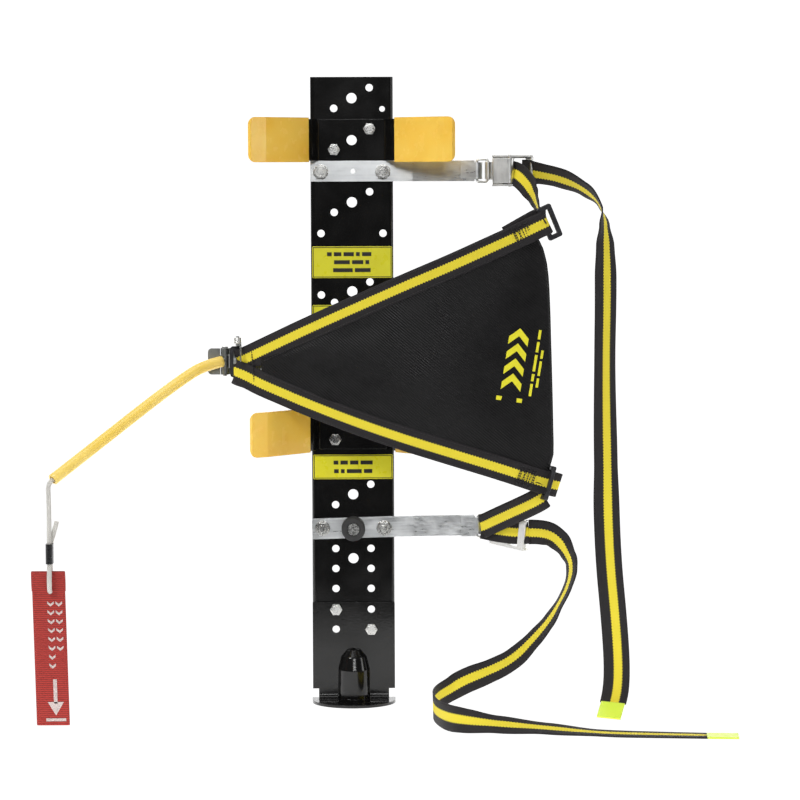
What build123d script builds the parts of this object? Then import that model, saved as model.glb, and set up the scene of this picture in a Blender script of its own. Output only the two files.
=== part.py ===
from build123d import *
import math
import os

# Walk-away cylinder bracket: a drilled channel plate that bolts to a seat back, two sprung cradle
# clips, strap bars with adjusters, and a triangular restraint panel held by a pull-cord latch.
# While modelling, X is to the right, depth d is measured forward from the plate's front face, and
# height z is measured from the underside of the foot. export() then moves everything to the frame,
# whose origin is the centre of the seat-back bolt pattern, on the rear face of the plate's web.

# ---- Plate ----
PLATE_WIDTH = 88.9
PLATE_BOTTOM = 13.0
PLATE_TOP = 673.4
CHANNEL_DEPTH = 12.7
PLATE_SHEET = 3.0
BEND_OUTER = 4.5
BEND_INNER = 1.5
BOLT_HOLE_R = 4.0
CENTRE_HOLE_R = 5.5
SIDE_X = 33.3
PAIR_X = 19.05
SEAT_HOLES_LOW = 439.8
SEAT_HOLES_HIGH = 505.9
ORIGIN_Z = (SEAT_HOLES_LOW + SEAT_HOLES_HIGH) / 2
ORIGIN_Y = -(CHANNEL_DEPTH - PLATE_SHEET)
LOWER_BAR_ROW = 187.7
LATCH_BAR_ROW = 373.7
UPPER_BAR_ROW = 571.9
SPARE_ROW = 307.7
BAR_ROWS = (LOWER_BAR_ROW, LATCH_BAR_ROW, UPPER_BAR_ROW)
SIDE_HOLE_HEIGHTS = (SPARE_ROW, SEAT_HOLES_LOW, SEAT_HOLES_HIGH) + BAR_ROWS
CENTRE_HOLE_HEIGHTS = (154.5, 187.7, 224.1, 343.5, 443.5, 539.3, 605.6, 650.7)
UPPER_CLIP_ROW = 617.7
DIAGONAL_RISING = (234.9, 354.2, 453.6, 550.5, UPPER_CLIP_ROW, 661.8)
DIAGONAL_FALL = 22.0
LOWER_CLIP_PAIR = (306.7, 284.1)
SMALL_HOLES = ((32.8, 639.1, 3.0), (1.3, 572.6, 2.5))
FOOT_ROWS = (77.6, 99.3, 121.6, 143.4, 165.2)

# ---- Cradle clips ----
CLIP_HEIGHT = 44.45
CLIP_SHEET = 3.0
CLIP_HEIGHTS = {"upper": 606.0, "lower": 295.6}
CLIP_BASE_X = 37.0
CLIP_WALL = (43.5, 20.0)
CLIP_FLARE = (92.0, 76.0)
CLIP_TIP = (106.0, 86.0)
CLIP_BEND = 4.0
COAT = 1.5
COAT_START_X = 45.5
WING_CORNER = 8.0

# ---- Fasteners ----
SHANK_R = 3.85
HEX_FLATS = 12.7
CAP_FLATS = 11.5
CAP_HEIGHT = 4.6
ROUND_HEAD_R = 6.8
WASHER_R = 8.2
WASHER_SHEET = 1.5
NUT_HEIGHT = 5.5
FRONT_NUT_HEIGHT = 6.5
RIVET_XS = (-104.0, -112.5)
RIVET_R = 2.4

# ---- Bars ----
BAR_HEIGHT = 22.2
BAR_SHEET = 3.2
BAR_BEND_X = 65.0
BAR_BEND_DEG = 8.0
BAR_RUN = 70.0
EYE_INNER = 3.2
EYE_NECK = 18.0
FOLD_BACK = 17.0
UPPER_BAR_Z = 572.6
LOWER_BAR_Z = 188.0
LOWER_BAR_TILT = 1.5
LATCH_BAR_RISE_X = -50.0
LATCH_BAR_END = (-117.0, 31.8)

# ---- Bumper and foot ----
BUMPER_R = 12.7
BUMPER_HEIGHT = 19.0
BUMPER_SEAT = 14.0
BUMPER_BORE_R = 3.3
FOOT_SHEET = 3.0
FOOT_TOP = 107.0
FOOT_BEND_R = 5.0
NOTCH_TOP = 13.0
NOTCH_HALF = 38.0
SHELF_R = 45.0
SHELF_CENTRE_D = 13.0
NOSE_OUTLINE = ((0, FOOT_SHEET), (17.5, FOOT_SHEET), (17.0, 34.0), (13.5, 48.0), (7.0, 55.5), (0, 57.5))
LABEL_WIDTH = 86.0
LABEL_SHEET = 0.4
LABEL_SPANS = {"upper": (458.0, 492.0), "middle": (395.0, 429.0), "lower": (240.7, 267.2)}

# ---- Adjusters, in their own frame: x along the strap, y negative to the front ----
RING_WIRE = 1.5
RING_REACH = 12.0
RING_HALF = 12.0
FRAME_START = 17.5
FRAME_END = 61.0
FRAME_HALF = 16.5
FRAME_SHEET = 2.0
FLANGE_DEPTH = 11.0
NECK_HEIGHT = 19.0
WINDOW_X = 46.5
WINDOW_LONG = 12.0
WINDOW_HALF = 13.2
CAM_PIN = (36.0, -7.0)
CAM_PIN_R = 2.0
CAM_R = 4.5
RUNNING = 0.06
LEVER_END = 19.0
LEVER_HALF = 13.4
LEVER_SHEET = 2.5
END_BAR = (59.0, -6.0)
UPPER_ADJUSTER_TURN = -8.0
LOWER_ADJUSTER_TURN = -36.0
LOWER_ADJUSTER_DROOP = 7.5

# ---- Panel: an arc in plan, so that it clears the right-hand wing tip ----
ARC_X = 80.0
ARC_D = -335.2
ARC_R = 434.0
FABRIC_SHEET = 2.0
WEB = 25.4
WEB_SHEET = 1.6
UPPER_STRIPE = ((-114.0, 374.3), (40.0, 446.0), (199.4, 515.2))
LOWER_STRIPE = ((-114.0, 356.0), (50.0, 293.6), (216.0, 240.0))
PANEL_RIGHT = 209.5
WEBBING_SPAN = (-114.0, 216.0)
FABRIC_OUTLINE = (
    (-112.0, 384.0), (40.0, 457.0), (196.0, 523.5), (200.0, 500.0), (PANEL_RIGHT, 474.0),
    (PANEL_RIGHT + 1.0, 330.0), (PANEL_RIGHT, 286.0), (203.0, 262.0), (197.0, 237.0),
    (50.0, 282.5), (-112.0, 345.0),
)

# ---- Corner rings ----
RING_LONG = 37.0
RING_SHORT = 16.4
RING_BAR = 5.0
RING_SHEET = 4.0
RING_D = 81.5
UPPER_RING_CENTRE = (207.5, 518.6)
LOWER_RING_CENTRE = (206.0, 243.4)
UPPER_RING_LEAN = 23.4
LOWER_RING_LEAN = -16.5

# ---- Latch ----
LOOP_X = -124.0
LOOP_Z = 371.0
LOOP_D = (44.0, 48.0)
LOOP_OUTER = (12.0, 33.0)
LOOP_SLOT = (5.8, 24.0)
TAB_X = (-126.4, -123.4)
TAB_Z = (368.5, 376.0)
TAB_TIP_D = 53.0
BRACKET_D = (33.4, 36.4)
BRACKET_Z = (357.0, 385.0)
PIN_X = -136.0
PIN_D = 39.0
PIN_R = 2.2
KNUCKLE_R = 4.4
KNUCKLE_HEIGHT = 7.0
LEVER_BLADE = 2.6
LEVER_LEFT = -154.0
SPRING_X = -121.7
SPRING_D = 58.5
SPRING_SEAT_Z = 388.7
SPRING_WIRE = 0.9
SPRING_COIL_R = 3.2
SPRING_LEG_Z = 372.0
SPRING_TURNS = 4

# ---- Cords ----
TUBE_R = 6.0
CORD_R = 2.5
TAIL_R = 3.5
TAG_WIDTH = 34.0
TAG_SHEET = 3.0
TAG_BOTTOM = 4.0
TAG_TOP = 164.0
TAG_X = -312.0
TAG_D = 174.5
TAG_HOLE_Z = 141.6
TAG_HOLE_R = 4.0
SLEEVE_SECTION = (17.6, 7.6)
SLEEVE_BOTTOM = 172.0
SLEEVE_HEIGHT = 20.4
TIP_LENGTH = 32.0
TIP_SHEET = 2.0
LOWER_TIP_DROP = 2.4


def front(depth):
    """Y of a plane this far in front of the plate's front face."""
    return -(CHANNEL_DEPTH + depth)


def block(x0, x1, d0, d1, z0, z1):
    """A box between two X values, two depths and two heights."""
    centre = Pos((x0 + x1) / 2, front((d0 + d1) / 2), (z0 + z1) / 2)
    return centre * Box(abs(x1 - x0), abs(d1 - d0), abs(z1 - z0))


def rod_y(x, z, d0, d1, radius):
    """A round bar along Y."""
    return Pos(x, front((d0 + d1) / 2), z) * Rot(90, 0, 0) * Cylinder(radius, abs(d1 - d0))


def rod_z(x, d, z0, z1, radius):
    """A round bar along Z."""
    return Pos(x, front(d), (z0 + z1) / 2) * Cylinder(radius, abs(z1 - z0))


def hex_y(x, z, d0, d1, flats):
    """A hexagon bar along Y."""
    prism = extrude(RegularPolygon(flats / 2, 6, major_radius=False), abs(d1 - d0) / 2, both=True)
    return Pos(x, front((d0 + d1) / 2), z) * Rot(90, 0, 0) * prism


def from_front(shape, x, z, d0, d1, turn=0.0):
    """A flat shape drawn as seen from the front, made solid between two depths."""
    solid = extrude(shape, abs(d1 - d0) / 2, both=True)
    return Pos(x, front((d0 + d1) / 2), z) * Rot(90, 0, 0) * Rot(0, 0, turn) * solid


def strip(path, height, thickness):
    """Sheet standing on edge, swept along a level path."""
    section = Plane(origin=path @ 0, x_dir=(0, 0, 1), z_dir=path % 0) * Rectangle(height, thickness)
    return sweep(section, path=path)


def plan_points(points, z):
    return [(x, front(d), z) for x, d in points]


def flat_shape(points):
    return make_face(Polyline(*points, close=True))


# ---- Back plate ----
def hole_list():
    """Every hole of the plate as (x, height, radius)."""
    holes = [(side * SIDE_X, z, BOLT_HOLE_R) for z in SIDE_HOLE_HEIGHTS for side in (-1, 1)]
    holes += [(0, z, CENTRE_HOLE_R) for z in CENTRE_HOLE_HEIGHTS]
    for z in DIAGONAL_RISING:
        holes += [(PAIR_X, z, BOLT_HOLE_R), (-PAIR_X, z - DIAGONAL_FALL, BOLT_HOLE_R)]
    holes += [(PAIR_X, LOWER_CLIP_PAIR[0], BOLT_HOLE_R), (-PAIR_X, LOWER_CLIP_PAIR[1], BOLT_HOLE_R)]
    holes += [(side * PAIR_X, z, BOLT_HOLE_R) for z in FOOT_ROWS for side in (-1, 1)]
    return holes + list(SMALL_HOLES)


def back_plate():
    height = PLATE_TOP - PLATE_BOTTOM
    outer = extrude(Rectangle(PLATE_WIDTH, CHANNEL_DEPTH), height)
    outer = Pos(0, -CHANNEL_DEPTH / 2, PLATE_BOTTOM) * outer
    front_corners = outer.edges().filter_by(Axis.Z).group_by(Axis.Y)[0]
    outer = fillet(front_corners, BEND_OUTER)
    inner_depth = CHANNEL_DEPTH - PLATE_SHEET
    inner = extrude(Rectangle(PLATE_WIDTH - 2 * PLATE_SHEET, inner_depth), height)
    inner = Pos(0, -inner_depth / 2, PLATE_BOTTOM) * inner
    inner = fillet(inner.edges().filter_by(Axis.Z).group_by(Axis.Y)[0], BEND_INNER)
    plate = outer - inner
    drills = [rod_y(x, z, -PLATE_SHEET - 1, 1, r) for x, z, r in hole_list()]
    return plate - drills


# ---- Cradle clips and their dipped wings ----
def clip_path(side, z):
    """Centreline of one half of a clip, from the middle of its base to the wing tip."""
    half = CLIP_SHEET / 2
    points = [(0, half), (CLIP_BASE_X, half), CLIP_WALL, CLIP_FLARE, CLIP_TIP]
    return FilletPolyline(*plan_points([(side * x, d) for x, d in points], z), radius=CLIP_BEND)


def wing_outline(z, grow):
    """Rounded outline of a clip's wings as seen from the front."""
    tip = CLIP_TIP[0] + 1.0 + grow
    shape = RectangleRounded(2 * tip, CLIP_HEIGHT + 2 * grow, WING_CORNER)
    return from_front(shape, 0, z, -1, CLIP_TIP[1] + 10)


def cradle_clip(z, bolts):
    halves = [strip(clip_path(side, z), CLIP_HEIGHT, CLIP_SHEET) for side in (-1, 1)]
    clip = (halves[0] + halves[1]) & wing_outline(z, 0)
    drills = [rod_y(x, bolt_z, -1, CLIP_SHEET + 1, BOLT_HOLE_R) for x, bolt_z in bolts]
    drills.append(rod_y(0, z, -1, CLIP_SHEET + 1, CENTRE_HOLE_R))
    return clip - drills


def wing_sleeve(side, z, clip):
    """The vinyl skin of one wing: a larger sweep of the same path, less the metal."""
    skin = strip(clip_path(side, z), CLIP_HEIGHT + 2 * COAT, CLIP_SHEET + 2 * COAT)
    keep = block(side * COAT_START_X, side * 140, -20, 140, z - 40, z + 40)
    longer = strip(tip_path(side, z), CLIP_HEIGHT + 2 * COAT, CLIP_SHEET + 2 * COAT)
    return ((skin + longer) & keep & wing_outline(z, COAT)) - clip


def tip_path(side, z):
    """The last flat of a wing, run on past the tip by the thickness of the skin."""
    run = math.hypot(CLIP_TIP[0] - CLIP_FLARE[0], CLIP_TIP[1] - CLIP_FLARE[1])
    grow = 1 + COAT / run
    end_x = CLIP_FLARE[0] + (CLIP_TIP[0] - CLIP_FLARE[0]) * grow
    end_d = CLIP_FLARE[1] + (CLIP_TIP[1] - CLIP_FLARE[1]) * grow
    mid_x = (CLIP_FLARE[0] + CLIP_TIP[0]) / 2
    mid_d = (CLIP_FLARE[1] + CLIP_TIP[1]) / 2
    return Line(*plan_points([(side * mid_x, mid_d), (side * end_x, end_d)], z))


# ---- Fasteners ----
def bolt_through(x, z, face):
    """A bolt from a front face back through the plate, with its hexagon head in front."""
    shank = rod_y(x, z, -PLATE_SHEET - 7, face, SHANK_R)
    top = hex_y(x, z, face, face + CAP_HEIGHT, CAP_FLATS)
    dome = rod_y(x, z, face + CAP_HEIGHT, face + CAP_HEIGHT + 0.6, CAP_FLATS * 0.4)
    return shank + top + dome


def rear_nut(x, z):
    bore = rod_y(x, z, -PLATE_SHEET - 8, 0, SHANK_R)
    return hex_y(x, z, -PLATE_SHEET - NUT_HEIGHT, -PLATE_SHEET, HEX_FLATS) - bore


def stud_bolt(x, z, face):
    """A round-headed bolt from behind the plate, with its thread end in front of the nut."""
    head = rod_y(x, z, -PLATE_SHEET - 4, -PLATE_SHEET, ROUND_HEAD_R)
    shank = rod_y(x, z, -PLATE_SHEET, face + WASHER_SHEET + FRONT_NUT_HEIGHT + 1.0, SHANK_R)
    return head + shank


def front_washer(x, z, face):
    return rod_y(x, z, face, face + WASHER_SHEET, WASHER_R) - rod_y(x, z, face - 1, face + 3, SHANK_R)


def front_nut(x, z, face):
    seat = face + WASHER_SHEET
    bore = rod_y(x, z, face, seat + 10, SHANK_R)
    return hex_y(x, z, seat, seat + FRONT_NUT_HEIGHT, HEX_FLATS) - bore


# ---- Bars ----
def bar_point(along, off):
    """A point in plan on the bent part of a strap bar, off its centreline to the front."""
    turn = math.radians(BAR_BEND_DEG)
    x = BAR_BEND_X + along * math.cos(turn) - off * math.sin(turn)
    d = BAR_SHEET / 2 + along * math.sin(turn) + off * math.cos(turn)
    return (x, d)


EYE_OFF = EYE_INNER + BAR_SHEET / 2
EYE = bar_point(BAR_RUN, EYE_OFF)


def strap_bar(z):
    """A flat bar whose end is folded forward and back on itself round an eye."""
    flat = plan_points([(-PLATE_WIDTH / 2, BAR_SHEET / 2), (BAR_BEND_X, BAR_SHEET / 2)], z)
    turn_in, turn_out = plan_points([bar_point(BAR_RUN, 0), bar_point(BAR_RUN, 2 * EYE_OFF)], z)
    crown = plan_points([bar_point(BAR_RUN + EYE_OFF, EYE_OFF)], z)[0]
    fold_end = plan_points([bar_point(BAR_RUN - FOLD_BACK, 2 * EYE_OFF)], z)[0]
    straight = FilletPolyline(*flat, turn_in, radius=12.0)
    path = straight + ThreePointArc(turn_in, crown, turn_out) + Line(turn_out, fold_end)
    bar = strip(Wire(path.edges()), BAR_HEIGHT, BAR_SHEET)
    low, high = z - BAR_HEIGHT, z + BAR_HEIGHT
    side = EYE_NECK / 2
    notch_x = EYE[0] - 2.5
    bar -= block(notch_x, notch_x + 20, -5, 40, z + side, high)
    bar -= block(notch_x, notch_x + 20, -5, 40, low, z - side)
    return bar


def drilled(bar, z):
    return bar - [rod_y(side * SIDE_X, z, -2, 6, BOLT_HOLE_R) for side in (-1, 1)]


def latch_bar():
    points = [(PLATE_WIDTH / 2, BAR_SHEET / 2), (LATCH_BAR_RISE_X, BAR_SHEET / 2)]
    points += [(-88.0, LATCH_BAR_END[1]), LATCH_BAR_END]
    path = FilletPolyline(*plan_points(points, LATCH_BAR_ROW), radius=8.0)
    return strip(path, BAR_HEIGHT, BAR_SHEET)


# ---- Bumper ----
def rubber_bumper(face):
    body = rod_y(0, LOWER_BAR_Z, face, face + BUMPER_HEIGHT, BUMPER_R)
    body = chamfer(body.edges().group_by(Axis.Y)[0], 1.5)
    body -= rod_y(0, LOWER_BAR_Z, face - 1, face + 30, BUMPER_BORE_R)
    return body - rod_y(0, LOWER_BAR_Z, face + BUMPER_SEAT, face + 30, 7.0)


def bumper_screw(face):
    seat = face + BUMPER_SEAT
    shank = rod_y(0, LOWER_BAR_Z, -6, seat, BUMPER_BORE_R - 0.1)
    return shank + rod_y(0, LOWER_BAR_Z, seat, seat + 3.5, 6.5)


# ---- Foot ----
def foot_bracket():
    leg = block(-PLATE_WIDTH / 2, PLATE_WIDTH / 2, 0, FOOT_SHEET, NOTCH_TOP, FOOT_TOP)
    neck = block(-NOTCH_HALF, NOTCH_HALF, 0, FOOT_SHEET, 0, NOTCH_TOP)
    half_round = Circle(SHELF_R) + Pos(0, SHELF_CENTRE_D / 2) * Rectangle(2 * SHELF_R, SHELF_CENTRE_D)
    half_round &= Pos(0, -SHELF_R + SHELF_CENTRE_D) * Rectangle(4 * SHELF_R, 2 * SHELF_R)
    shelf = Pos(0, front(SHELF_CENTRE_D), 0) * extrude(half_round, FOOT_SHEET)
    bend = (FOOT_SHEET, FOOT_SHEET + FOOT_BEND_R)
    hollow = Pos(0, front(bend[1]), bend[1]) * Rot(0, 90, 0) * Cylinder(FOOT_BEND_R, 200)
    web = block(-NOTCH_HALF, NOTCH_HALF, *bend, *bend) - hollow
    nose = revolve(Plane.XZ * flat_shape(NOSE_OUTLINE), Axis.Z)
    nose = fillet(nose.edges().filter_by(GeomType.CIRCLE).group_by(Axis.Z)[1:], 3.0)
    nose = Pos(0, front(FOOT_SHEET), 0) * nose & block(-40, 40, 0, 60, 0, 100)
    foot = leg + neck + shelf + web + nose
    drills = [rod_y(side * PAIR_X, z, -2, 6, BOLT_HOLE_R) for z in FOOT_ROWS[:2] for side in (-1, 1)]
    return foot - drills


# ---- Labels ----
def label(z0, z1):
    face = RectangleRounded(LABEL_WIDTH, z1 - z0, 1.5)
    return from_front(face, 0, (z0 + z1) / 2, 0, LABEL_SHEET)


# ---- Strap adjusters, built about the bar's eye ----
def swivel_ring():
    """A rectangular wire ring: its left bar lies in the bar's eye, its right bar in the frame's curl."""
    corner = 3.0
    loop = RectangleRounded(RING_REACH, 2 * RING_HALF, corner).edges()
    path = Plane.XZ * Pos(RING_REACH / 2, 0) * Wire(loop)
    start = Plane(origin=path @ 0, z_dir=path % 0)
    return sweep(start * Circle(RING_WIRE), path=path)


def adjuster_frame():
    half_wall = FRAME_HALF - FRAME_SHEET
    curl_r = RING_WIRE + 0.15
    middle = (FRAME_START + FRAME_END) / 2
    length = FRAME_END - FRAME_START
    body = Pos(middle, -FRAME_SHEET / 2, 0) * Box(length, FRAME_SHEET, 2 * FRAME_HALF)
    for side in (-1, 1):
        wall_z = side * (half_wall + FRAME_SHEET / 2)
        body += Pos(middle, -FLANGE_DEPTH / 2, wall_z) * Box(length, FLANGE_DEPTH, FRAME_SHEET)
    neck_x = (RING_REACH + FRAME_START) / 2
    body += Pos(neck_x, -FRAME_SHEET / 2, 0) * Box(FRAME_START - RING_REACH, FRAME_SHEET, NECK_HEIGHT)
    body += Pos(RING_REACH, 0, 0) * Cylinder(curl_r + FRAME_SHEET, NECK_HEIGHT)
    body -= Pos(WINDOW_X, 0, 0) * Box(WINDOW_LONG, 10, 2 * WINDOW_HALF)
    body -= Pos(RING_REACH, 0, 0) * Cylinder(curl_r, 40)
    return body - Pos(CAM_PIN[0], CAM_PIN[1], 0) * Cylinder(CAM_PIN_R, 60)


def cam_pin():
    return Pos(CAM_PIN[0], CAM_PIN[1], 0) * Cylinder(CAM_PIN_R, 2 * FRAME_HALF + 1.0)


def cam_lever():
    """Thumb plate with grip ribs, and the round cam that clamps the webbing."""
    barrel = Pos(CAM_PIN[0], CAM_PIN[1], 0) * Cylinder(CAM_R, 2 * LEVER_HALF)
    middle_y = CAM_PIN[1] - CAM_R + LEVER_SHEET / 2
    length = CAM_PIN[0] - LEVER_END
    plate = Pos(CAM_PIN[0] - length / 2, middle_y, 0) * Box(length, LEVER_SHEET, 2 * LEVER_HALF)
    lip = Pos(LEVER_END, middle_y, 0) * Cylinder(LEVER_SHEET / 2, 2 * LEVER_HALF)
    bore = Pos(CAM_PIN[0], CAM_PIN[1], 0) * Cylinder(CAM_PIN_R + RUNNING, 60)
    return barrel + plate + lip - bore


def end_bar():
    return Pos(END_BAR[0], END_BAR[1], 0) * Cylinder(1.6, 2 * (FRAME_HALF - FRAME_SHEET))


def adjuster_place(z, turn, droop, roll):
    """Where an adjuster hangs: turned about the bar's eye, drooping, rolled about its own length."""
    return Pos(EYE[0], front(EYE[1]), z) * Rot(0, 0, turn) * Rot(0, droop, 0) * Rot(roll, 0, 0)


# ---- Link straps: flat webbing from each adjuster to its corner ring ----
def strap_section(centre, across, along, width=WEB, thickness=WEB_SHEET):
    x, d, z = centre
    plane = Plane(origin=(x, front(d), z), x_dir=across, z_dir=along)
    return plane * Rectangle(width, thickness)


def upper_link_strap():
    sections = [
        strap_section((182.5, 39.0, 568.0), (0.5, 0, 0.87), (0.45, -0.8, -0.26)),
        strap_section((188.0, 49.0, 562.5), (0.75, -0.1, 0.6), (0.3, -0.8, -0.5)),
        strap_section((192.5, 61.0, 555.0), (0.8, -0.5, 0.3), (0.1, -0.6, -0.75)),
        strap_section((194.5, 72.0, 546.0), (0.4, -0.9, 0.1), (0.1, -0.2, -1.0)),
    ]
    return loft(sections, ruled=True)


def lower_link_strap():
    across = (-0.5, 0.0, 0.87)
    along = (0.70, -0.58, 0.42)
    sections = [
        strap_section((142.0, 35.0, 191.5), across, along),
        strap_section((192.0, 76.0, 221.5), across, along),
    ]
    return loft(sections, ruled=True)


# ---- Panel ----
def arc_slab(inner, outer, x0, x1):
    """Everything between two radii of the panel's plan arc, over the full height of the panel."""
    ring = Cylinder(ARC_R + outer, 700) - Cylinder(ARC_R + inner, 700)
    return Pos(ARC_X, front(ARC_D), 350) * ring & block(x0, x1, 0, 160, 100, 650)


def panel_fabric():
    solid = extrude(Plane.XZ * flat_shape(FABRIC_OUTLINE), 200)
    return solid & arc_slab(0, FABRIC_SHEET, *WEBBING_SPAN)


def edge_webbing(stripe, inner, outer):
    """Webbing sewn along an edge of the panel, in front of the fabric."""
    band = trace(ThreePointArc(*stripe), WEB)
    solid = extrude(Plane.XZ * band, 200)
    return solid & arc_slab(inner, outer, *WEBBING_SPAN)


def corner_ring(centre, lean, flat_on):
    """A rectangular strap ring; flat_on lies in the panel, the other stands square to it."""
    outer = RectangleRounded(RING_SHORT, RING_LONG, 2.5)
    inner = RectangleRounded(RING_SHORT - 2 * RING_BAR, RING_LONG - 2 * RING_BAR, 0.8)
    ring = extrude(outer - inner, RING_SHEET / 2, both=True)
    ring = fillet(ring.edges().filter_by(GeomType.LINE).filter_by(Axis.Y), 0.8)
    if not flat_on:
        ring = Rot(0, 90, 0) * ring
    tilt = math.degrees(math.asin((centre[0] - ARC_X) / ARC_R))
    ring = Rot(0, 0, tilt) * Rot(90, 0, 0) * Rot(0, 0, lean) * ring
    return Pos(centre[0], front(RING_D), centre[1]) * ring


def apex_loop():
    outer = RectangleRounded(*LOOP_OUTER, 3.0)
    return from_front(outer - RectangleRounded(*LOOP_SLOT, 1.5), LOOP_X, LOOP_Z, *LOOP_D)


# ---- Latch ----
def rivet_bores():
    return [rod_y(x, LATCH_BAR_ROW, 20, 60, RIVET_R) for x in RIVET_XS]


def latch_bracket():
    """Plate riveted to the bar's end, with the tab that the loop sits on and two hinge knuckles."""
    plate = block(-131.5, -98.0, *BRACKET_D, *BRACKET_Z)
    tab = block(*TAB_X, BRACKET_D[1] - 1, TAB_TIP_D, *TAB_Z)
    tab = fillet(tab.edges().filter_by(Axis.X).group_by(Axis.Y)[0], 3.0)
    low, high = BRACKET_Z
    knuckles = [(low, low + KNUCKLE_HEIGHT), (high - KNUCKLE_HEIGHT, high)]
    body = plate + tab
    for z0, z1 in knuckles:
        body += rod_z(PIN_X, PIN_D, z0, z1, KNUCKLE_R)
        body += block(PIN_X, -130.5, BRACKET_D[0], BRACKET_D[1] + 1.2, z0, z1)
    arm_x = (SPRING_X - 2, SPRING_X + 2)
    seat = SPRING_SEAT_Z
    body += rod_z(SPRING_X, SPRING_D, seat, seat + 10, 1.8)
    body += block(*arm_x, BRACKET_D[0], SPRING_D + 2, seat, seat + 2.5)
    body += block(*arm_x, *BRACKET_D, BRACKET_Z[1] - 3, seat + 2.5)
    body -= rod_z(PIN_X, PIN_D, low - 1, high + 1, PIN_R)
    return body - rivet_bores()


def latch_pin():
    low, high = BRACKET_Z
    head = rod_z(PIN_X, PIN_D, high, high + 1.8, 3.6)
    return rod_z(PIN_X, PIN_D, low - 1.5, high, PIN_R) + head


def release_lever():
    """Blade on its own hub, with the peg that the release tube is pressed over."""
    z0 = BRACKET_Z[0] + KNUCKLE_HEIGHT + 0.4
    z1 = BRACKET_Z[1] - KNUCKLE_HEIGHT - 0.4
    depths = (PIN_D - LEVER_BLADE / 2, PIN_D + LEVER_BLADE / 2)
    hub = rod_z(PIN_X, PIN_D, z0, z1, KNUCKLE_R)
    blade = block(LEVER_LEFT, PIN_X - KNUCKLE_R - 0.5, *depths, *BRACKET_Z)
    blade = fillet(blade.edges().filter_by(Axis.Y).group_by(Axis.X)[0], 4.0)
    root = block(PIN_X - KNUCKLE_R - 0.6, PIN_X, *depths, z0, z1)
    mouth, ahead = [Vector(x, front(d), z) for x, d, z in TUBE_ROUTE[:2]]
    plug = extrude(Plane(origin=mouth, z_dir=mouth - ahead) * Circle(3.5), 6.5)
    body = hub + blade + root + plug
    return body - rod_z(PIN_X, PIN_D, z0 - 1, z1 + 1, PIN_R + RUNNING)


def keeper_spring():
    """Wire spring: a close coil on the stud and one leg that hangs across the mouth of the loop."""
    coil_z = SPRING_SEAT_Z + 2.5 + SPRING_WIRE
    spring = rod_z(SPRING_X + SPRING_COIL_R, SPRING_D, SPRING_LEG_Z, coil_z, SPRING_WIRE)
    for i in range(SPRING_TURNS):
        coil = Torus(SPRING_COIL_R, SPRING_WIRE)
        spring += Pos(SPRING_X, front(SPRING_D), coil_z + 1.5 * i) * coil
    return spring


def latch_rivets():
    rivets = []
    back = BRACKET_D[0] - BAR_SHEET
    for x in RIVET_XS:
        shank = rod_y(x, LATCH_BAR_ROW, back, BRACKET_D[1], RIVET_R)
        head = rod_y(x, LATCH_BAR_ROW, BRACKET_D[1], BRACKET_D[1] + 1.8, RIVET_R + 1.8)
        tail = rod_y(x, LATCH_BAR_ROW, back - 1.5, back, RIVET_R + 1.6)
        rivets.append(shank + head + tail)
    return rivets


# ---- Cords: routes as (x, depth, height) ----
TUBE_ROUTE = [
    (-142.0, 47.0, 370.8), (-157.5, 55.5, 367.6), (-178.0, 70.0, 355.5), (-211.0, 97.0, 332.0),
    (-251.0, 127.0, 301.5), (-289.0, 154.8, 272.6), (-308.5, 169.0, 257.8),
]
CORD_ROUTE = [
    (-308.5, 169.0, 257.8), (-313.375, 172.55, 254.1), (-312.6, 173.4, 241.0), (-312.2, 175.0, 219.0),
    (-312.2, 177.5, 190.0), (-312.0, 179.5, 168.0), (-312.0, 183.0, 151.4), (-312.0, 179.5, 143.0),
    (-312.0, 169.5, 143.0), (-312.0, 166.0, 151.4), (-312.0, 169.5, 168.0), (-311.8, 171.5, 190.0),
    (-308.0, 173.0, 202.0), (-304.5, 174.0, 215.0),
]
UPPER_TAIL_ROUTE = [
    (197.5, 29.0, 570.0), (223.0, 33.0, 565.0), (249.0, 37.0, 553.0), (267.6, 40.0, 534.0),
    (269.4, 42.0, 494.0), (269.8, 43.0, 436.0), (268.6, 44.0, 378.0), (268.8, 45.0, 320.0),
    (269.8, 46.0, 262.0), (270.6, 46.0, 204.0), (273.2, 47.0, 150.0), (277.6, 48.0, 104.0),
    (280.8, 50.0, 62.0), (281.4, 53.0, 34.0), (279.2, 60.0, 14.0), (275.2, 77.0, 7.6),
]
LOWER_TAIL_ROUTE = [
    (187.0, 51.5, 188.0), (203.0, 51.5, 188.4), (218.6, 48.0, 180.5), (230.3, 46.0, 162.5),
    (234.3, 45.0, 149.0), (230.6, 44.0, 129.8), (221.5, 42.0, 111.0), (210.0, 40.0, 90.5),
    (193.6, 38.0, 71.0), (173.0, 36.0, 49.5), (149.6, 35.0, 37.0), (119.0, 37.0, 26.0),
    (97.0, 44.0, 17.0), (80.0, 66.0, 13.0), (73.5, 111.0, 13.0), (77.0, 158.0, 13.0),
    (90.6, 200.0, 12.0), (110.0, 224.0, 11.0), (145.0, 232.0, 8.0), (195.0, 231.0, 5.0),
    (250.0, 237.0, 4.0), (305.0, 242.0, 4.0), (357.0, 246.0, 4.0),
]


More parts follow.
